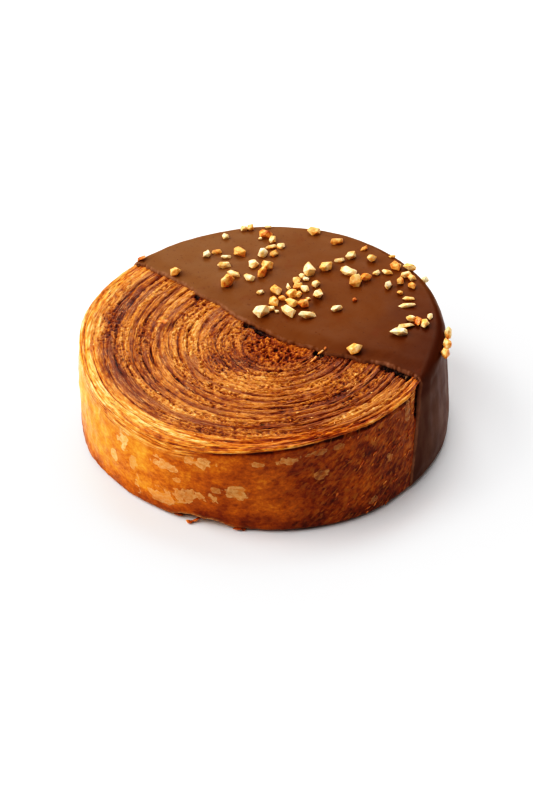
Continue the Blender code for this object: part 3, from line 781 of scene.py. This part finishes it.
def coat_lift(depth, thickness):
    """The coat's thickness at a depth behind its edge, which rounds down into the dough."""
    share = clamp(depth / COAT_EDGE)
    thin = COAT_TAPER * (1 - ease(depth, 0.0, COAT_TAPER_REACH))
    return (thickness - thin + COAT_SUNK) * sqrt(1 - (1 - share) ** 2) - COAT_SUNK


def eased_steps(length, count):
    """Distances from 0 to length: fine near 0, as EDGE_STEPS says, then even."""
    fine = [min(step, length * i / (count + len(EDGE_STEPS))) if length < 0.01 else step
            for i, step in enumerate(EDGE_STEPS)]
    rest = length - fine[-1]
    return fine + [fine[-1] + rest * i / count for i in range(1, count + 1)]


def coat_columns():
    """How far round the coat each column lies, 0 to 1, closer together towards both edges."""
    around = pi * RADIUS
    half = eased_steps(0.5 * around, COAT_COLUMNS // 2)
    shares = [step / around for step in half]
    return shares + [1 - share for share in reversed(shares[:-1])]


def coat_corner(share):
    """The radius of the coat's top corner, which is tighter beside its edge."""
    from_edge = min(share, 1 - share) * pi * RADIUS
    return SEAM_CORNER + (COAT_CORNER - SEAM_CORNER) * ease(from_edge, 0.0, 0.010)


def chocolate_unevenness(x, y, z):
    return 0.00030 * grit(x, y, z, 0.0150) + 0.00010 * grit(x, y, z + 1, 0.0045)


def coat_radius(z):
    return side_radius(z) + COAT_GAP + COAT_SIDE_THICKNESS


def column_angle(share, radius, z):
    """Where a column of the coat cuts a level circle, and the circle's angles at both edges."""
    right = seam_angle(radius, z, -0.25, 0.5)
    left = seam_angle(radius, z, pi - 0.5, pi + 0.25)
    return right + (left - right) * share, right, left


def coat_wall_point(share, turn, z):
    """A point on the corner (at a turn of it, z unused) or on the wall of the coat."""
    corner = coat_corner(share)
    if turn is not None:
        radius = coat_radius(HEIGHT) - corner + corner * cos(turn)
        z = COAT_TOP - corner + corner * sin(turn)
        out = Vector((cos(turn), sin(turn)))
    else:
        radius = coat_radius(z)
        out = Vector((1.0, 0.0))
    angle, _, _ = column_angle(share, radius, z)
    x, y = radius * cos(angle), radius * sin(angle)
    from_foot = max(z - COAT_FOOT, 0.0)
    streaks = 0.00022 * wave(angle * RADIUS / 0.0045, z / 0.020, 34)
    level = coat_lift(min(into_coat(x, y, z), from_foot), COAT_SIDE_THICKNESS) - COAT_SIDE_THICKNESS
    level += chocolate_unevenness(x, y, z) + streaks * (1 - max(out.y, 0.0))
    level = max(level, -COAT_SIDE_THICKNESS - COAT_SUNK)
    return polar(radius + level * out.x, angle, z + level * out.y)


def coat_top_line(share):
    """The points of one column on the flat top, from the edge back to the corner."""
    reach = coat_radius(HEIGHT) - coat_corner(share)
    angle, right, left = column_angle(share, reach, COAT_TOP)
    end = Vector((reach * cos(angle), reach * sin(angle)))
    x = reach * (cos(right) + (cos(left) - cos(right)) * (0.5 - 0.5 * cos(pi * share)))
    y = seam_offset(x) - SEAM_SLANT * (HEIGHT - COAT_TOP) + seam_wiggle(x, COAT_TOP)
    start = Vector((x, y))
    length = (end - start).length
    points = []
    for step in eased_steps(length, COAT_TOP_ROWS):
        x, y = start.lerp(end, step / length if length > 0 else 0.0)
        level = coat_lift(max(into_coat(x, y, COAT_TOP), 0.0), COAT_THICKNESS) - COAT_THICKNESS
        points.append(Vector((x, y, COAT_TOP + level + chocolate_unevenness(x, y, COAT_TOP))))
    return points


def coat_column(share):
    """The points of one column: over the top, round the corner and down the wall."""
    line = coat_top_line(share)
    for i in range(1, COAT_CORNER_ROWS + 1):
        line.append(coat_wall_point(share, 0.5 * pi * (1 - i / COAT_CORNER_ROWS), None))
    drop = COAT_TOP - coat_corner(share) - COAT_FOOT
    for step in reversed(eased_steps(drop, COAT_WALL_ROWS)[:-1]):
        line.append(coat_wall_point(share, None, COAT_FOOT + step))
    return line


def chocolate_coat():
    """The coat: a sheet of columns, thickened inwards."""
    columns = [coat_column(share) for share in coat_columns()]
    points = [point for column in columns for point in column]
    # edge: 1 along the edge of the coat, where the material paints a pale highlight
    edge = [1 - ease(into_coat(*point), 0.0001, 0.0011) for point in points]
    rows = len(columns[0])
    faces = []
    for first in range(0, len(points) - rows, rows):
        for i in range(first, first + rows - 1):
            faces.append((i, i + 1, i + rows + 1, i + rows))
    mesh = make_mesh("chocolate", [settle(point) for point in points], faces, {"edge": edge})
    bm = bmesh.new()
    bm.from_mesh(mesh)
    bmesh.ops.remove_doubles(bm, verts=bm.verts, dist=0.00001)
    bmesh.ops.recalc_face_normals(bm, faces=bm.faces)
    top_face = max(bm.faces, key=lambda face: face.calc_center_median().z)
    if top_face.normal.z < 0:
        bmesh.ops.reverse_faces(bm, faces=bm.faces)
    bm.to_mesh(mesh)
    bm.free()
    mesh.shade_smooth()
    made = add_object("chocolate", mesh)
    shell = made.modifiers.new("shell", "SOLIDIFY")
    shell.thickness = SHEET_THICKNESS
    shell.offset = -1.0
    return made


def coat_surface(x, y):
    """The height of the coat's outer face above a point of the upright roll, and how it slopes."""
    reach = clamp(COAT_CORNER - coat_radius(HEIGHT) + hypot(x, y), 0.0, 0.93 * COAT_CORNER)
    return COAT_TOP - COAT_CORNER + sqrt(COAT_CORNER**2 - reach**2), asin(reach / COAT_CORNER)


def nut_corners(draw):
    """Corner points of a broken piece: spread round a ball with uneven reach, 2 across each way."""
    corners = []
    for index in range(NUT_POINTS):
        z = 1 - (2 * index + 1) / NUT_POINTS
        ring = sqrt(1 - z * z)
        angle = index * GOLDEN_ANGLE + draw.uniform(-0.35, 0.35)
        reach = draw.uniform(*NUT_REACH)
        corners.append(Vector((ring * cos(angle), ring * sin(angle), z)) * reach)
    spans = [max(abs(corner[axis]) for corner in corners) for axis in range(3)]
    return [Vector([corner[axis] / spans[axis] for axis in range(3)]) for corner in corners]


class Pieces:
    """Many small broken pieces gathered in one mesh, each with its own tone."""

    def __init__(self):
        self.whole = bmesh.new()
        self.tones = self.whole.verts.layers.float.new("tone")

    def add(self, spot, turn, half, corners, tone, rounding=0.0, curl=0.0):
        """A hull round corner points, with its edges rounded or its length curled up."""
        bm = bmesh.new()
        for corner in corners:
            bm.verts.new(Vector((corner.x * half.x, corner.y * half.y, corner.z * half.z)))
        hull = bmesh.ops.convex_hull(bm, input=bm.verts)
        bmesh.ops.delete(bm, geom=list(set(hull["geom_interior"])), context="VERTS")
        if rounding:
            bmesh.ops.dissolve_limit(bm, angle_limit=radians(14), verts=bm.verts, edges=bm.edges)
            bevel = {"segments": 3, "profile": 0.6, "affect": "EDGES", "clamp_overlap": True}
            bmesh.ops.bevel(bm, geom=bm.edges[:], offset=rounding, **bevel)
            bmesh.ops.triangulate(bm, faces=[face for face in bm.faces if len(face.verts) > 4])
        long_edges = [edge for edge in bm.edges if edge.calc_length() > 0.0007]
        bmesh.ops.subdivide_edges(bm, edges=long_edges, cuts=1, use_grid_fill=True)
        shift = Vector((len(self.whole.verts), 0, 0))
        made = []
        for vertex in bm.verts:
            rough = 0.08 * half.z * noise.noise(vertex.co / 0.0009 + shift)
            point = vertex.co + rough * vertex.normal
            point.z += curl * (point.x / half.x) ** 2
            made.append(self.whole.verts.new(spot + turn @ point))
            made[-1][self.tones] = tone
        bm.verts.index_update()
        for face in bm.faces:
            self.whole.faces.new([made[vertex.index] for vertex in face.verts])
        bm.free()

    def to_object(self, name):
        bmesh.ops.recalc_face_normals(self.whole, faces=self.whole.faces)
        mesh = bpy.data.meshes.new(name)
        self.whole.to_mesh(mesh)
        self.whole.free()
        mesh.shade_smooth()
        return add_object(name, mesh)


def chopped_nuts():
    draw = random.Random(NUT_SEED)
    pieces = Pieces()
    for x, y, length, width, heading, roast in NUTS:
        x, y = 0.001 * x, 0.001 * y
        half = NUT_SIZE * Vector((length, width, width * draw.uniform(*NUT_THICKNESS_SHARE)))
        surface, slope = coat_surface(x, y)
        outward = atan2(y, x)
        tilt = Matrix.Rotation(slope, 3, Vector((-sin(outward), cos(outward), 0)))
        lay = Euler((draw.gauss(0, NUT_TILT), draw.gauss(0, NUT_TILT), radians(heading)))
        place = Vector((x, y, surface)) + tilt @ Vector((0, 0, half.z * (1 - 2 * NUT_SINK)))
        turn = tilt @ lay.to_matrix()
        rounding = min(NUT_ROUNDING, 0.2 * half.z)
        pieces.add(settle(place), turn, half, nut_corners(draw), roast, rounding)
    return pieces.to_object("chopped_nuts")


def lying(normal, heading, tip):
    """The turn that lays a piece on a surface, its length at a heading from the level and tipped."""
    level = Vector((1, 0, 0)) if normal.z > 0.9 else Vector((-normal.y, normal.x, 0)).normalized()
    frame = Matrix((level, normal.cross(level), normal)).transposed()
    return frame @ Euler((0, -tip, heading)).to_matrix()


def flake_places(draw):
    """Each flake as its spot, its turn, its length and width, and its tone."""
    up = Vector((0, 0, 1))
    for x, y, z, length, width, heading, tip, tone in FLAKES:
        turn = lying(up, radians(heading), radians(tip))
        yield Vector((x, y, z)) * MM, turn, length * MM, width * MM, tone
    for _ in range(SMALL_FLAKES):
        share, angle = draw.uniform(0.30, 0.985), radians(draw.uniform(176, 364))
        x, y = spiral_point(share, angle)
        length, width = draw.uniform(0.0005, 0.0014), draw.uniform(0.0003, 0.0006)
        turn = lying(up, angle + 0.5 * pi + draw.gauss(0, 0.5), draw.uniform(-0.2, 0.2))
        if behind_seam(x, y, HEIGHT) < -0.001:
            z = HEIGHT + 0.0002 + rim_offset(share, angle)
            yield Vector((x, y, z)), turn, length, width, draw.uniform(0.0, 0.5)
    for _ in range(SIDE_FLAKES):
        angle, z = radians(draw.triangular(316, 370, 358)), draw.uniform(0.0015, 0.0310)
        out = side_out(angle, z, HEIGHT + rim_offset(1.0, angle))
        radius = side_radius(z) + swell(angle, z) + out + 0.00005
        spot, normal = polar(radius, angle, z), polar(1.0, angle, 0)
        length, width = draw.uniform(0.0012, 0.0034), draw.uniform(0.0004, 0.0010)
        turn = lying(normal, radians(42) + draw.gauss(0, 0.25), draw.uniform(-0.10, 0.10))
        if behind_seam(spot.x, spot.y, z) < -0.0005:
            yield spot, turn, length, width, draw.uniform(0.50, 0.95)


def crust_flakes():
    """Thin curled flakes: those that lie loose, and those that the side has broken up into."""
    draw = random.Random(FLAKE_SEED)
    pieces = Pieces()
    for spot, turn, length, width, tone in flake_places(draw):
        half = 0.5 * Vector((length, width, FLAKE_THICKNESS))
        corners = nut_corners(draw)
        curl = draw.uniform(0.02, 0.10) * length
        pieces.add(settle(spot), turn, half, corners, tone, curl=curl)
    return pieces.to_object("crust_flakes")


class Look:
    """A material and short ways to add nodes to it."""

    def __init__(self, name, roughness, specular=0.5):
        self.material = bpy.data.materials.new(name)
        self.material.use_nodes = True
        self.tree = self.material.node_tree
        self.shader = self.tree.nodes["Principled BSDF"]
        self.shader.inputs["Roughness"].default_value = roughness
        self.shader.inputs["Specular IOR Level"].default_value = specular

    def feed(self, socket, value):
        if isinstance(value, bpy.types.NodeSocket):
            self.tree.links.new(value, socket)
        else:
            socket.default_value = value

    def node(self, kind, *inputs, **named):
        """A node whose inputs are fed in their order or by name."""
        made = self.tree.nodes.new("ShaderNode" + kind)
        for key, value in (*enumerate(inputs), *named.items()):
            self.feed(made.inputs[key], value)
        return made

    def field(self, name):
        """A value that the mesh carries at each vertex."""
        made = self.node("Attribute")
        made.attribute_name = name
        return made.outputs["Vector" if name in VECTOR_FIELDS else "Fac"]

    def place(self):
        return self.node("TexCoord").outputs["Object"]

    def turned(self, vector, degrees):
        return self.node("Mapping", Vector=vector, Rotation=(0, 0, radians(degrees))).outputs[0]

    def noise(self, vector, scale, detail, roughness, shift=(0, 0, 0)):
        """Noise of a scale, or of a scale for each axis."""
        if isinstance(scale, tuple):
            vector = self.node("Mapping", Vector=vector, Scale=scale, Location=shift).outputs[0]
            scale = 1.0
        made = self.node("TexNoise", Vector=vector, Scale=scale, Detail=detail, Roughness=roughness)
        return made.outputs["Fac"]

    def fine(self):
        """The fine grain that all crusts share."""
        return self.noise(self.place(), 1500, 3, 0.6)

    def cells(self, vector, scale):
        return self.node("TexVoronoi", Vector=vector, Scale=scale).outputs["Distance"]

    def math(self, operation, *values):
        made = self.node("Math", *values)
        made.operation = operation
        return made.outputs[0]

    def chain(self, operation, terms):
        """The terms joined one after another by an operation."""
        result = terms[0]
        for term in terms[1:]:
            result = self.math(operation, result, term)
        return result

    def product(self, *factors):
        return self.chain("MULTIPLY", factors)

    def total(self, *terms):
        """The sum of terms, each a socket, a number or a (socket, weight) pair."""
        weighed = [self.product(*term) if isinstance(term, tuple) else term for term in terms]
        return self.chain("ADD", weighed)

    def off_middle(self, value):
        return self.math("ABSOLUTE", self.math("SUBTRACT", value, 0.5))

    def between(self, value, low, high, start=0.0, end=1.0):
        """value mapped so that low gives start and high gives end, smoothly and clamped."""
        made = self.node("MapRange", value, low, high, start, end)
        made.interpolation_type = "SMOOTHSTEP"
        return made.outputs[0]

    def tones(self, value, stops):
        """A ramp of colours given as (position, (red, green, blue))."""
        made = self.node("ValToRGB", value)
        ramp = made.color_ramp
        while len(ramp.elements) < len(stops):
            ramp.elements.new(0.5)
        for element, (position, colour) in zip(ramp.elements, stops):
            element.position = position
            element.color = srgb(*colour)
        return made.outputs["Color"]

    def mix(self, share, first, second):
        """first where share is 0 and second where it is 1."""
        made = self.tree.nodes.new("ShaderNodeMix")
        made.data_type = "RGBA"
        for index, value in (0, share), (6, first), (7, second):
            self.feed(made.inputs[index], srgb(*value) if isinstance(value, tuple) else value)
        return made.outputs[2]

    def over(self, under, colour, *shares):
        """A colour laid over another by the product of shares."""
        return self.mix(self.product(*shares), under, colour)

    def raised(self, height, distance, strength=1.0):
        made = self.node("Bump", Height=height, Distance=distance, Strength=strength)
        return made.outputs["Normal"]

    def finish(self, colour, normal=None, roughness=None):
        for name, value in ("Base Color", colour), ("Normal", normal), ("Roughness", roughness):
            if value is not None:
                self.feed(self.shader.inputs[name], value)
        return self.material


# Ramps from pale to dark
LAYER_TONES = (
    (0.00, (250, 204, 138)), (0.22, (218, 154, 78)), (0.45, (184, 111, 36)),
    (0.65, (142, 70, 13)), (0.82, (98, 38, 5)), (1.00, (46, 11, 1)),
)
RIM_TONES = (
    (0.00, (253, 218, 156)), (0.26, (240, 172, 80)), (0.50, (214, 126, 32)),
    (0.75, (156, 69, 9)), (1.00, (84, 24, 2)),
)
HEART_TONES = (
    (0.00, (236, 160, 78)), (0.25, (196, 115, 30)), (0.50, (140, 62, 10)),
    (0.75, (88, 24, 4)), (1.00, (40, 8, 2)),
)
SKIN_TONES = (
    (0.00, (246, 202, 112)), (0.25, (232, 156, 50)), (0.50, (194, 106, 18)),
    (0.72, (142, 64, 5)), (0.88, (104, 36, 1)), (1.00, (72, 20, 0)),
)
FLAKE_TONES = ((0.0, (246, 200, 130)), (0.4, (228, 142, 62)), (0.7, (184, 88, 22)), (1.0, (110, 36, 4)))
NUT_TONES = (
    (0.00, (255, 238, 198)), (0.25, (254, 219, 158)), (0.48, (245, 186, 100)),
    (0.75, (220, 124, 44)), (1.00, (146, 64, 22)),
)


def thin_lines(look, noise, width):
    """1 along the thin lines where a noise passes through its middle."""
    return look.between(look.off_middle(noise), width, 0.15 * width)


def layer_colour(look, along, streaks, hair, knobs, worms):
    """The laminated top: pale leaf edges, browned faces and dark gaps between them, darker where the
    relief is low, partly as painted shade.
    """
    relief, bake = look.field("relief"), look.field("bake")
    # rise: the relief with the fine lines; the colour is darker where it is low, partly the crust's
    # colour and partly painted shade
    rise = look.total(relief, hair, (streaks, 0.6), knobs, -1.30)
    in_crumb = look.product(look.field("crumb"), look.total(worms, -0.60))
    level = look.total(bake, (rise, -0.66), 0.33, (in_crumb, 0.9))
    colour = look.tones(level, LAYER_TONES)
    face = look.mix(hair, (108, 50, 24), (158, 90, 54))
    colour = look.over(colour, face, look.field("flat"), 0.65)

    lines = look.noise(along, (2.2, 0.10, 0.10), 3, 0.65, (4, 2, 8))
    # the rim is also darker where the relief is low, partly as painted shade
    level = look.total(bake, (lines, -1.6), (hair, -0.9), (knobs, -0.9), (relief, -0.40), 1.91)
    colour = look.over(colour, look.tones(level, RIM_TONES), look.field("rim"))

    edge = thin_lines(look, look.noise(along, (1.5, 0.12, 0.12), 3, 0.6, (2, 9, 4)), 0.026)
    colour = look.over(colour, (232, 172, 106), edge, look.between(streaks, 0.40, 0.55), 0.55)
    # Dark cracks, and painted shade in the grooves between the turns, both in the same near-black brown
    crack = thin_lines(look, look.noise(along, (1.3, 0.09, 0.09), 3, 0.6, (8, 1, 6)), 0.024)
    crack = look.product(crack, look.between(streaks, 0.56, 0.44))
    from_gap = look.off_middle(look.math("FRACT", look.field("turn")))
    gap = look.product(look.between(from_gap, 0.455, 0.49), look.between(streaks, 0.40, 0.54))
    colour = look.over(colour, (78, 20, 4), look.math("MAXIMUM", crack, gap), 0.72)
    # The burnt heart: paler where the relief is high and darker where it is low, partly painted light and
    # shade
    level = look.total((relief, -0.80), (worms, 0.60), (hair, -0.6), 0.86)
    return look.over(colour, look.tones(level, HEART_TONES), look.field("heart"))


def skin_colour(look, place):
    """The baked skin of the side: mottled, with pale blisters, and flaky on one side."""
    flat, flaky = look.field("skin_place"), look.field("flaky")
    fine = look.fine()
    cloud = look.noise(flat, (0.17, 0.24, 1), 3, 0.55)
    mottle = look.noise(flat, (0.60, 0.85, 1), 4, 0.62, (3, 5, 0))
    flecks = look.noise(look.turned(flat, -42), (0.28, 0.95, 1), 4, 0.6)
    slanted = look.product(flaky, look.total(flecks, -0.5))
    blotches = look.product(look.total(mottle, -0.5), look.total((flaky, 0.05), 0.55))
    bake = look.field("bake")
    level = look.total(bake, (fine, 0.16), (cloud, 0.46), (slanted, -0.8), -0.29, blotches)
    colour = look.tones(level, SKIN_TONES)
    scales = look.noise(look.turned(flat, -38), (0.36, 0.95, 1), 1, 0.5, (7, 2, 0))
    scales = look.product(look.between(scales, 0.51, 0.60), flaky)
    colour = look.over(colour, (198, 130, 52), scales, look.between(mottle, 0.40, 0.58, 0.20, 0.72))

    field = look.total(look.field("blister"), (fine, 0.25), (mottle, 0.45), -0.35)
    inside = look.between(field, 0.43, 0.57)
    pale = look.mix(fine, (216, 146, 70), (252, 212, 150))
    patchy = look.between(mottle, 0.38, 0.60, 0.35, 1.0)
    colour = look.over(colour, pale, inside, patchy, look.field("paleness"))
    colour = look.over(colour, (255, 222, 168), inside, look.between(field, 0.62, 0.50), 0.22)
    cream = look.product(look.field("cream"), look.between(mottle, 0.36, 0.56))
    colour = look.over(colour, (228, 170, 106), cream, 0.75)
    # Small dark dots for pits in the flaky skin: painted shade, as the mesh has no pits there
    pits = look.between(look.cells(place, 300), 0.14, 0.07)
    return look.over(colour, (46, 12, 2), pits, flaky, 0.8), inside, flecks


def pastry_material():
    look = Look("baked_dough", 0.45, 0.22)
    place, along, skinned = look.place(), look.field("grain"), look.field("skin")
    streaks = look.noise(along, (0.9, 0.08, 0.08), 2, 0.55)
    hair = look.noise(along, (2.3, 0.20, 0.20), 2, 0.6, (5, 3, 1))
    knobs = look.noise(along, (1.5, 0.65, 0.65), 3, 0.6, (9, 7, 2))
    worms = look.noise(place, 950, 2, 0.55)
    skin, blister, flecks = skin_colour(look, place)
    colour = look.over(layer_colour(look, along, streaks, hair, knobs, worms), skin, skinned)

    lines = look.product(look.total(hair, (knobs, 0.7)), look.math("SUBTRACT", 1.0, skinned))
    crumbs = look.product(worms, look.field("crumb"))
    skin_grain = look.product(look.fine(), skinned)
    weave = look.product(flecks, look.field("flaky"))
    height = look.total(lines, (crumbs, -0.7), (skin_grain, 0.30), (blister, 0.14), (weave, 0.45))
    roughness = look.between(look.noise(place, 260, 2, 0.5), 0.35, 0.65, 0.30, 0.50)
    return look.finish(colour, look.raised(height, 0.00032), roughness)


def chocolate_material():
    """Milk chocolate with painted sheen: lighter to the left and back, darker to the right, paler and
    greyer down the wall, with a pale painted highlight along its edge.
    """
    look = Look("milk_chocolate", 0.36, 0.07)
    place = look.place()
    x, y, z = look.node("SeparateXYZ", place).outputs
    cloud = look.noise(place, 45, 4, 0.55)
    # slope: painted sheen, lightest towards the left and back of the top and darkest to the right
    slope = look.total((x, -0.7), (y, 0.05), (cloud, 0.040), -0.008)
    colour = look.mix(look.between(slope, -0.034, 0.004), (82, 36, 0), (110, 62, 14))
    colour = look.over(colour, (126, 84, 48), look.between(slope, 0.002, 0.044))
    # Down the wall, below the top corner, the colour is painted paler and greyer in smeary patches:
    # painted sheen
    smears = look.between(look.noise(place, (110, 110, 50), 3, 0.55), 0.35, 0.65)
    painted_wall_sheen = look.mix(smears, (94, 58, 42), (114, 80, 64))
    colour = look.over(colour, painted_wall_sheen, look.between(z, 0.0325, 0.0280), 0.85)
    # A pale painted highlight along the rounded edge of the coat, broken up by the cloud
    edge = look.product(look.field("edge"), look.between(cloud, 0.35, 0.60, 0.45, 0.90))
    colour = look.over(colour, (164, 118, 92), edge)
    speck = look.between(look.cells(place, 380), 0.10, 0.05)
    colour = look.over(colour, (56, 20, 5), speck, 0.55)
    dust = look.between(look.noise(place, 900, 2, 0.6), 0.60, 0.72)
    colour = look.over(colour, (70, 32, 12), dust, 0.22)
    stain = look.between(look.noise(place, 130, 2, 0.5), 0.62, 0.70)
    colour = look.over(colour, (112, 48, 10), stain, 0.16)
    height = look.total((look.noise(place, 700, 3, 0.6), 0.5), (speck, -1.0), (cloud, 0.8))
    roughness = look.between(look.noise(place, 120, 3, 0.6), 0.3, 0.7, 0.32, 0.46)
    return look.finish(colour, look.raised(height, 0.00014, 0.6), roughness)


def broken_material(name, tones, patch_scale):
    """Nuts or flakes: each piece has its own tone, in patches."""
    look = Look(name, 0.48)
    patches = look.noise(look.place(), patch_scale, 3, 0.6)
    fine = look.fine()
    level = look.total((look.field("tone"), 0.70), (patches, 1.5), (fine, 0.35), -0.80)
    look.shader.inputs["Subsurface Weight"].default_value = 0.12
    look.shader.inputs["Subsurface Radius"].default_value = (0.0012, 0.0007, 0.0003)
    look.shader.inputs["Subsurface Scale"].default_value = 1.0
    return look.finish(look.tones(level, tones), look.raised(fine, 0.00012, 0.5))


def add_facing(name, data, azimuth, elevation, distance, drop=0.0):
    """A camera or light in a direction from the target, azimuth from -Y to +X, turned to face it."""
    made = add_object(name, data)
    level = cos(elevation)
    away = Vector((sin(azimuth) * level, -cos(azimuth) * level, sin(elevation)))
    made.location = VIEW_TARGET + distance * away
    aim = (VIEW_TARGET - made.location).to_track_quat("-Z", "Y").to_matrix()
    made.rotation_euler = (aim @ Matrix.Rotation(-drop, 3, "X")).to_euler()
    return made


def add_camera():
    data = bpy.data.cameras.new("camera")
    data.lens = LENS
    camera = add_facing("camera", data, VIEW_AZIMUTH, VIEW_ELEVATION, VIEW_DISTANCE, VIEW_DROP)
    bpy.context.scene.camera = camera


def set_tone_curve(view):
    """The plain display transform, with the deeper shadows of a print."""
    view.view_transform = "Standard"
    view.use_curve_mapping = True
    for dark, printed in TONE_CURVE:
        view.curve_mapping.curves[3].points.new(dark, printed)
    view.curve_mapping.update()


def add_studio():
    mesh = bpy.data.meshes.new("floor")
    corners = [(x * FLOOR_REACH, y * FLOOR_REACH, 0) for x, y in ((-1, -1), (1, -1), (1, 1), (-1, 1))]
    mesh.from_pydata(corners, [], [(0, 1, 2, 3)])
    mesh.materials.append(Look("white_floor", 0.6, 0.2).finish((0.86, 0.86, 0.865, 1.0)))
    floor = add_object("floor", mesh)
    world = bpy.data.worlds.new("studio")
    world.use_nodes = True
    background = world.node_tree.nodes["Background"]
    background.inputs["Color"].default_value = (1, 1, 1, 1)
    background.inputs["Strength"].default_value = WORLD_STRENGTH
    for name, (azimuth, elevation, size, power) in SOFTBOXES.items():
        data = bpy.data.lights.new(name, "AREA")
        data.shape = "SQUARE"
        data.size = size
        data.energy = power
        azimuth = VIEW_AZIMUTH + radians(azimuth)
        add_facing(name, data, azimuth, radians(elevation), SOFTBOX_DISTANCE)
    set_tone_curve(bpy.context.scene.view_settings)


def dress(piece, surface, slot_name, *nodes):
    """Gives a piece its material and its body, and hides the CAD nodes that it stands for. The slot name
    is not used.
    """
    piece.data.materials.append(surface)
    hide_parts(*nodes)
    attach(piece, "root")


dress(rolled_dough(), pastry_material(), "baked_pastry", "laminated_roll")
dress(chocolate_coat(), chocolate_material(), "milk_chocolate", "chocolate_coat")
nut_surface = broken_material("roasted_nuts", NUT_TONES, 420)
dress(chopped_nuts(), nut_surface, "milk_chocolate", "chocolate_coat")
flake_surface = broken_material("browned_flakes", FLAKE_TONES, 600)
dress(crust_flakes(), flake_surface, "baked_pastry", "laminated_roll")
add_studio()
add_camera()
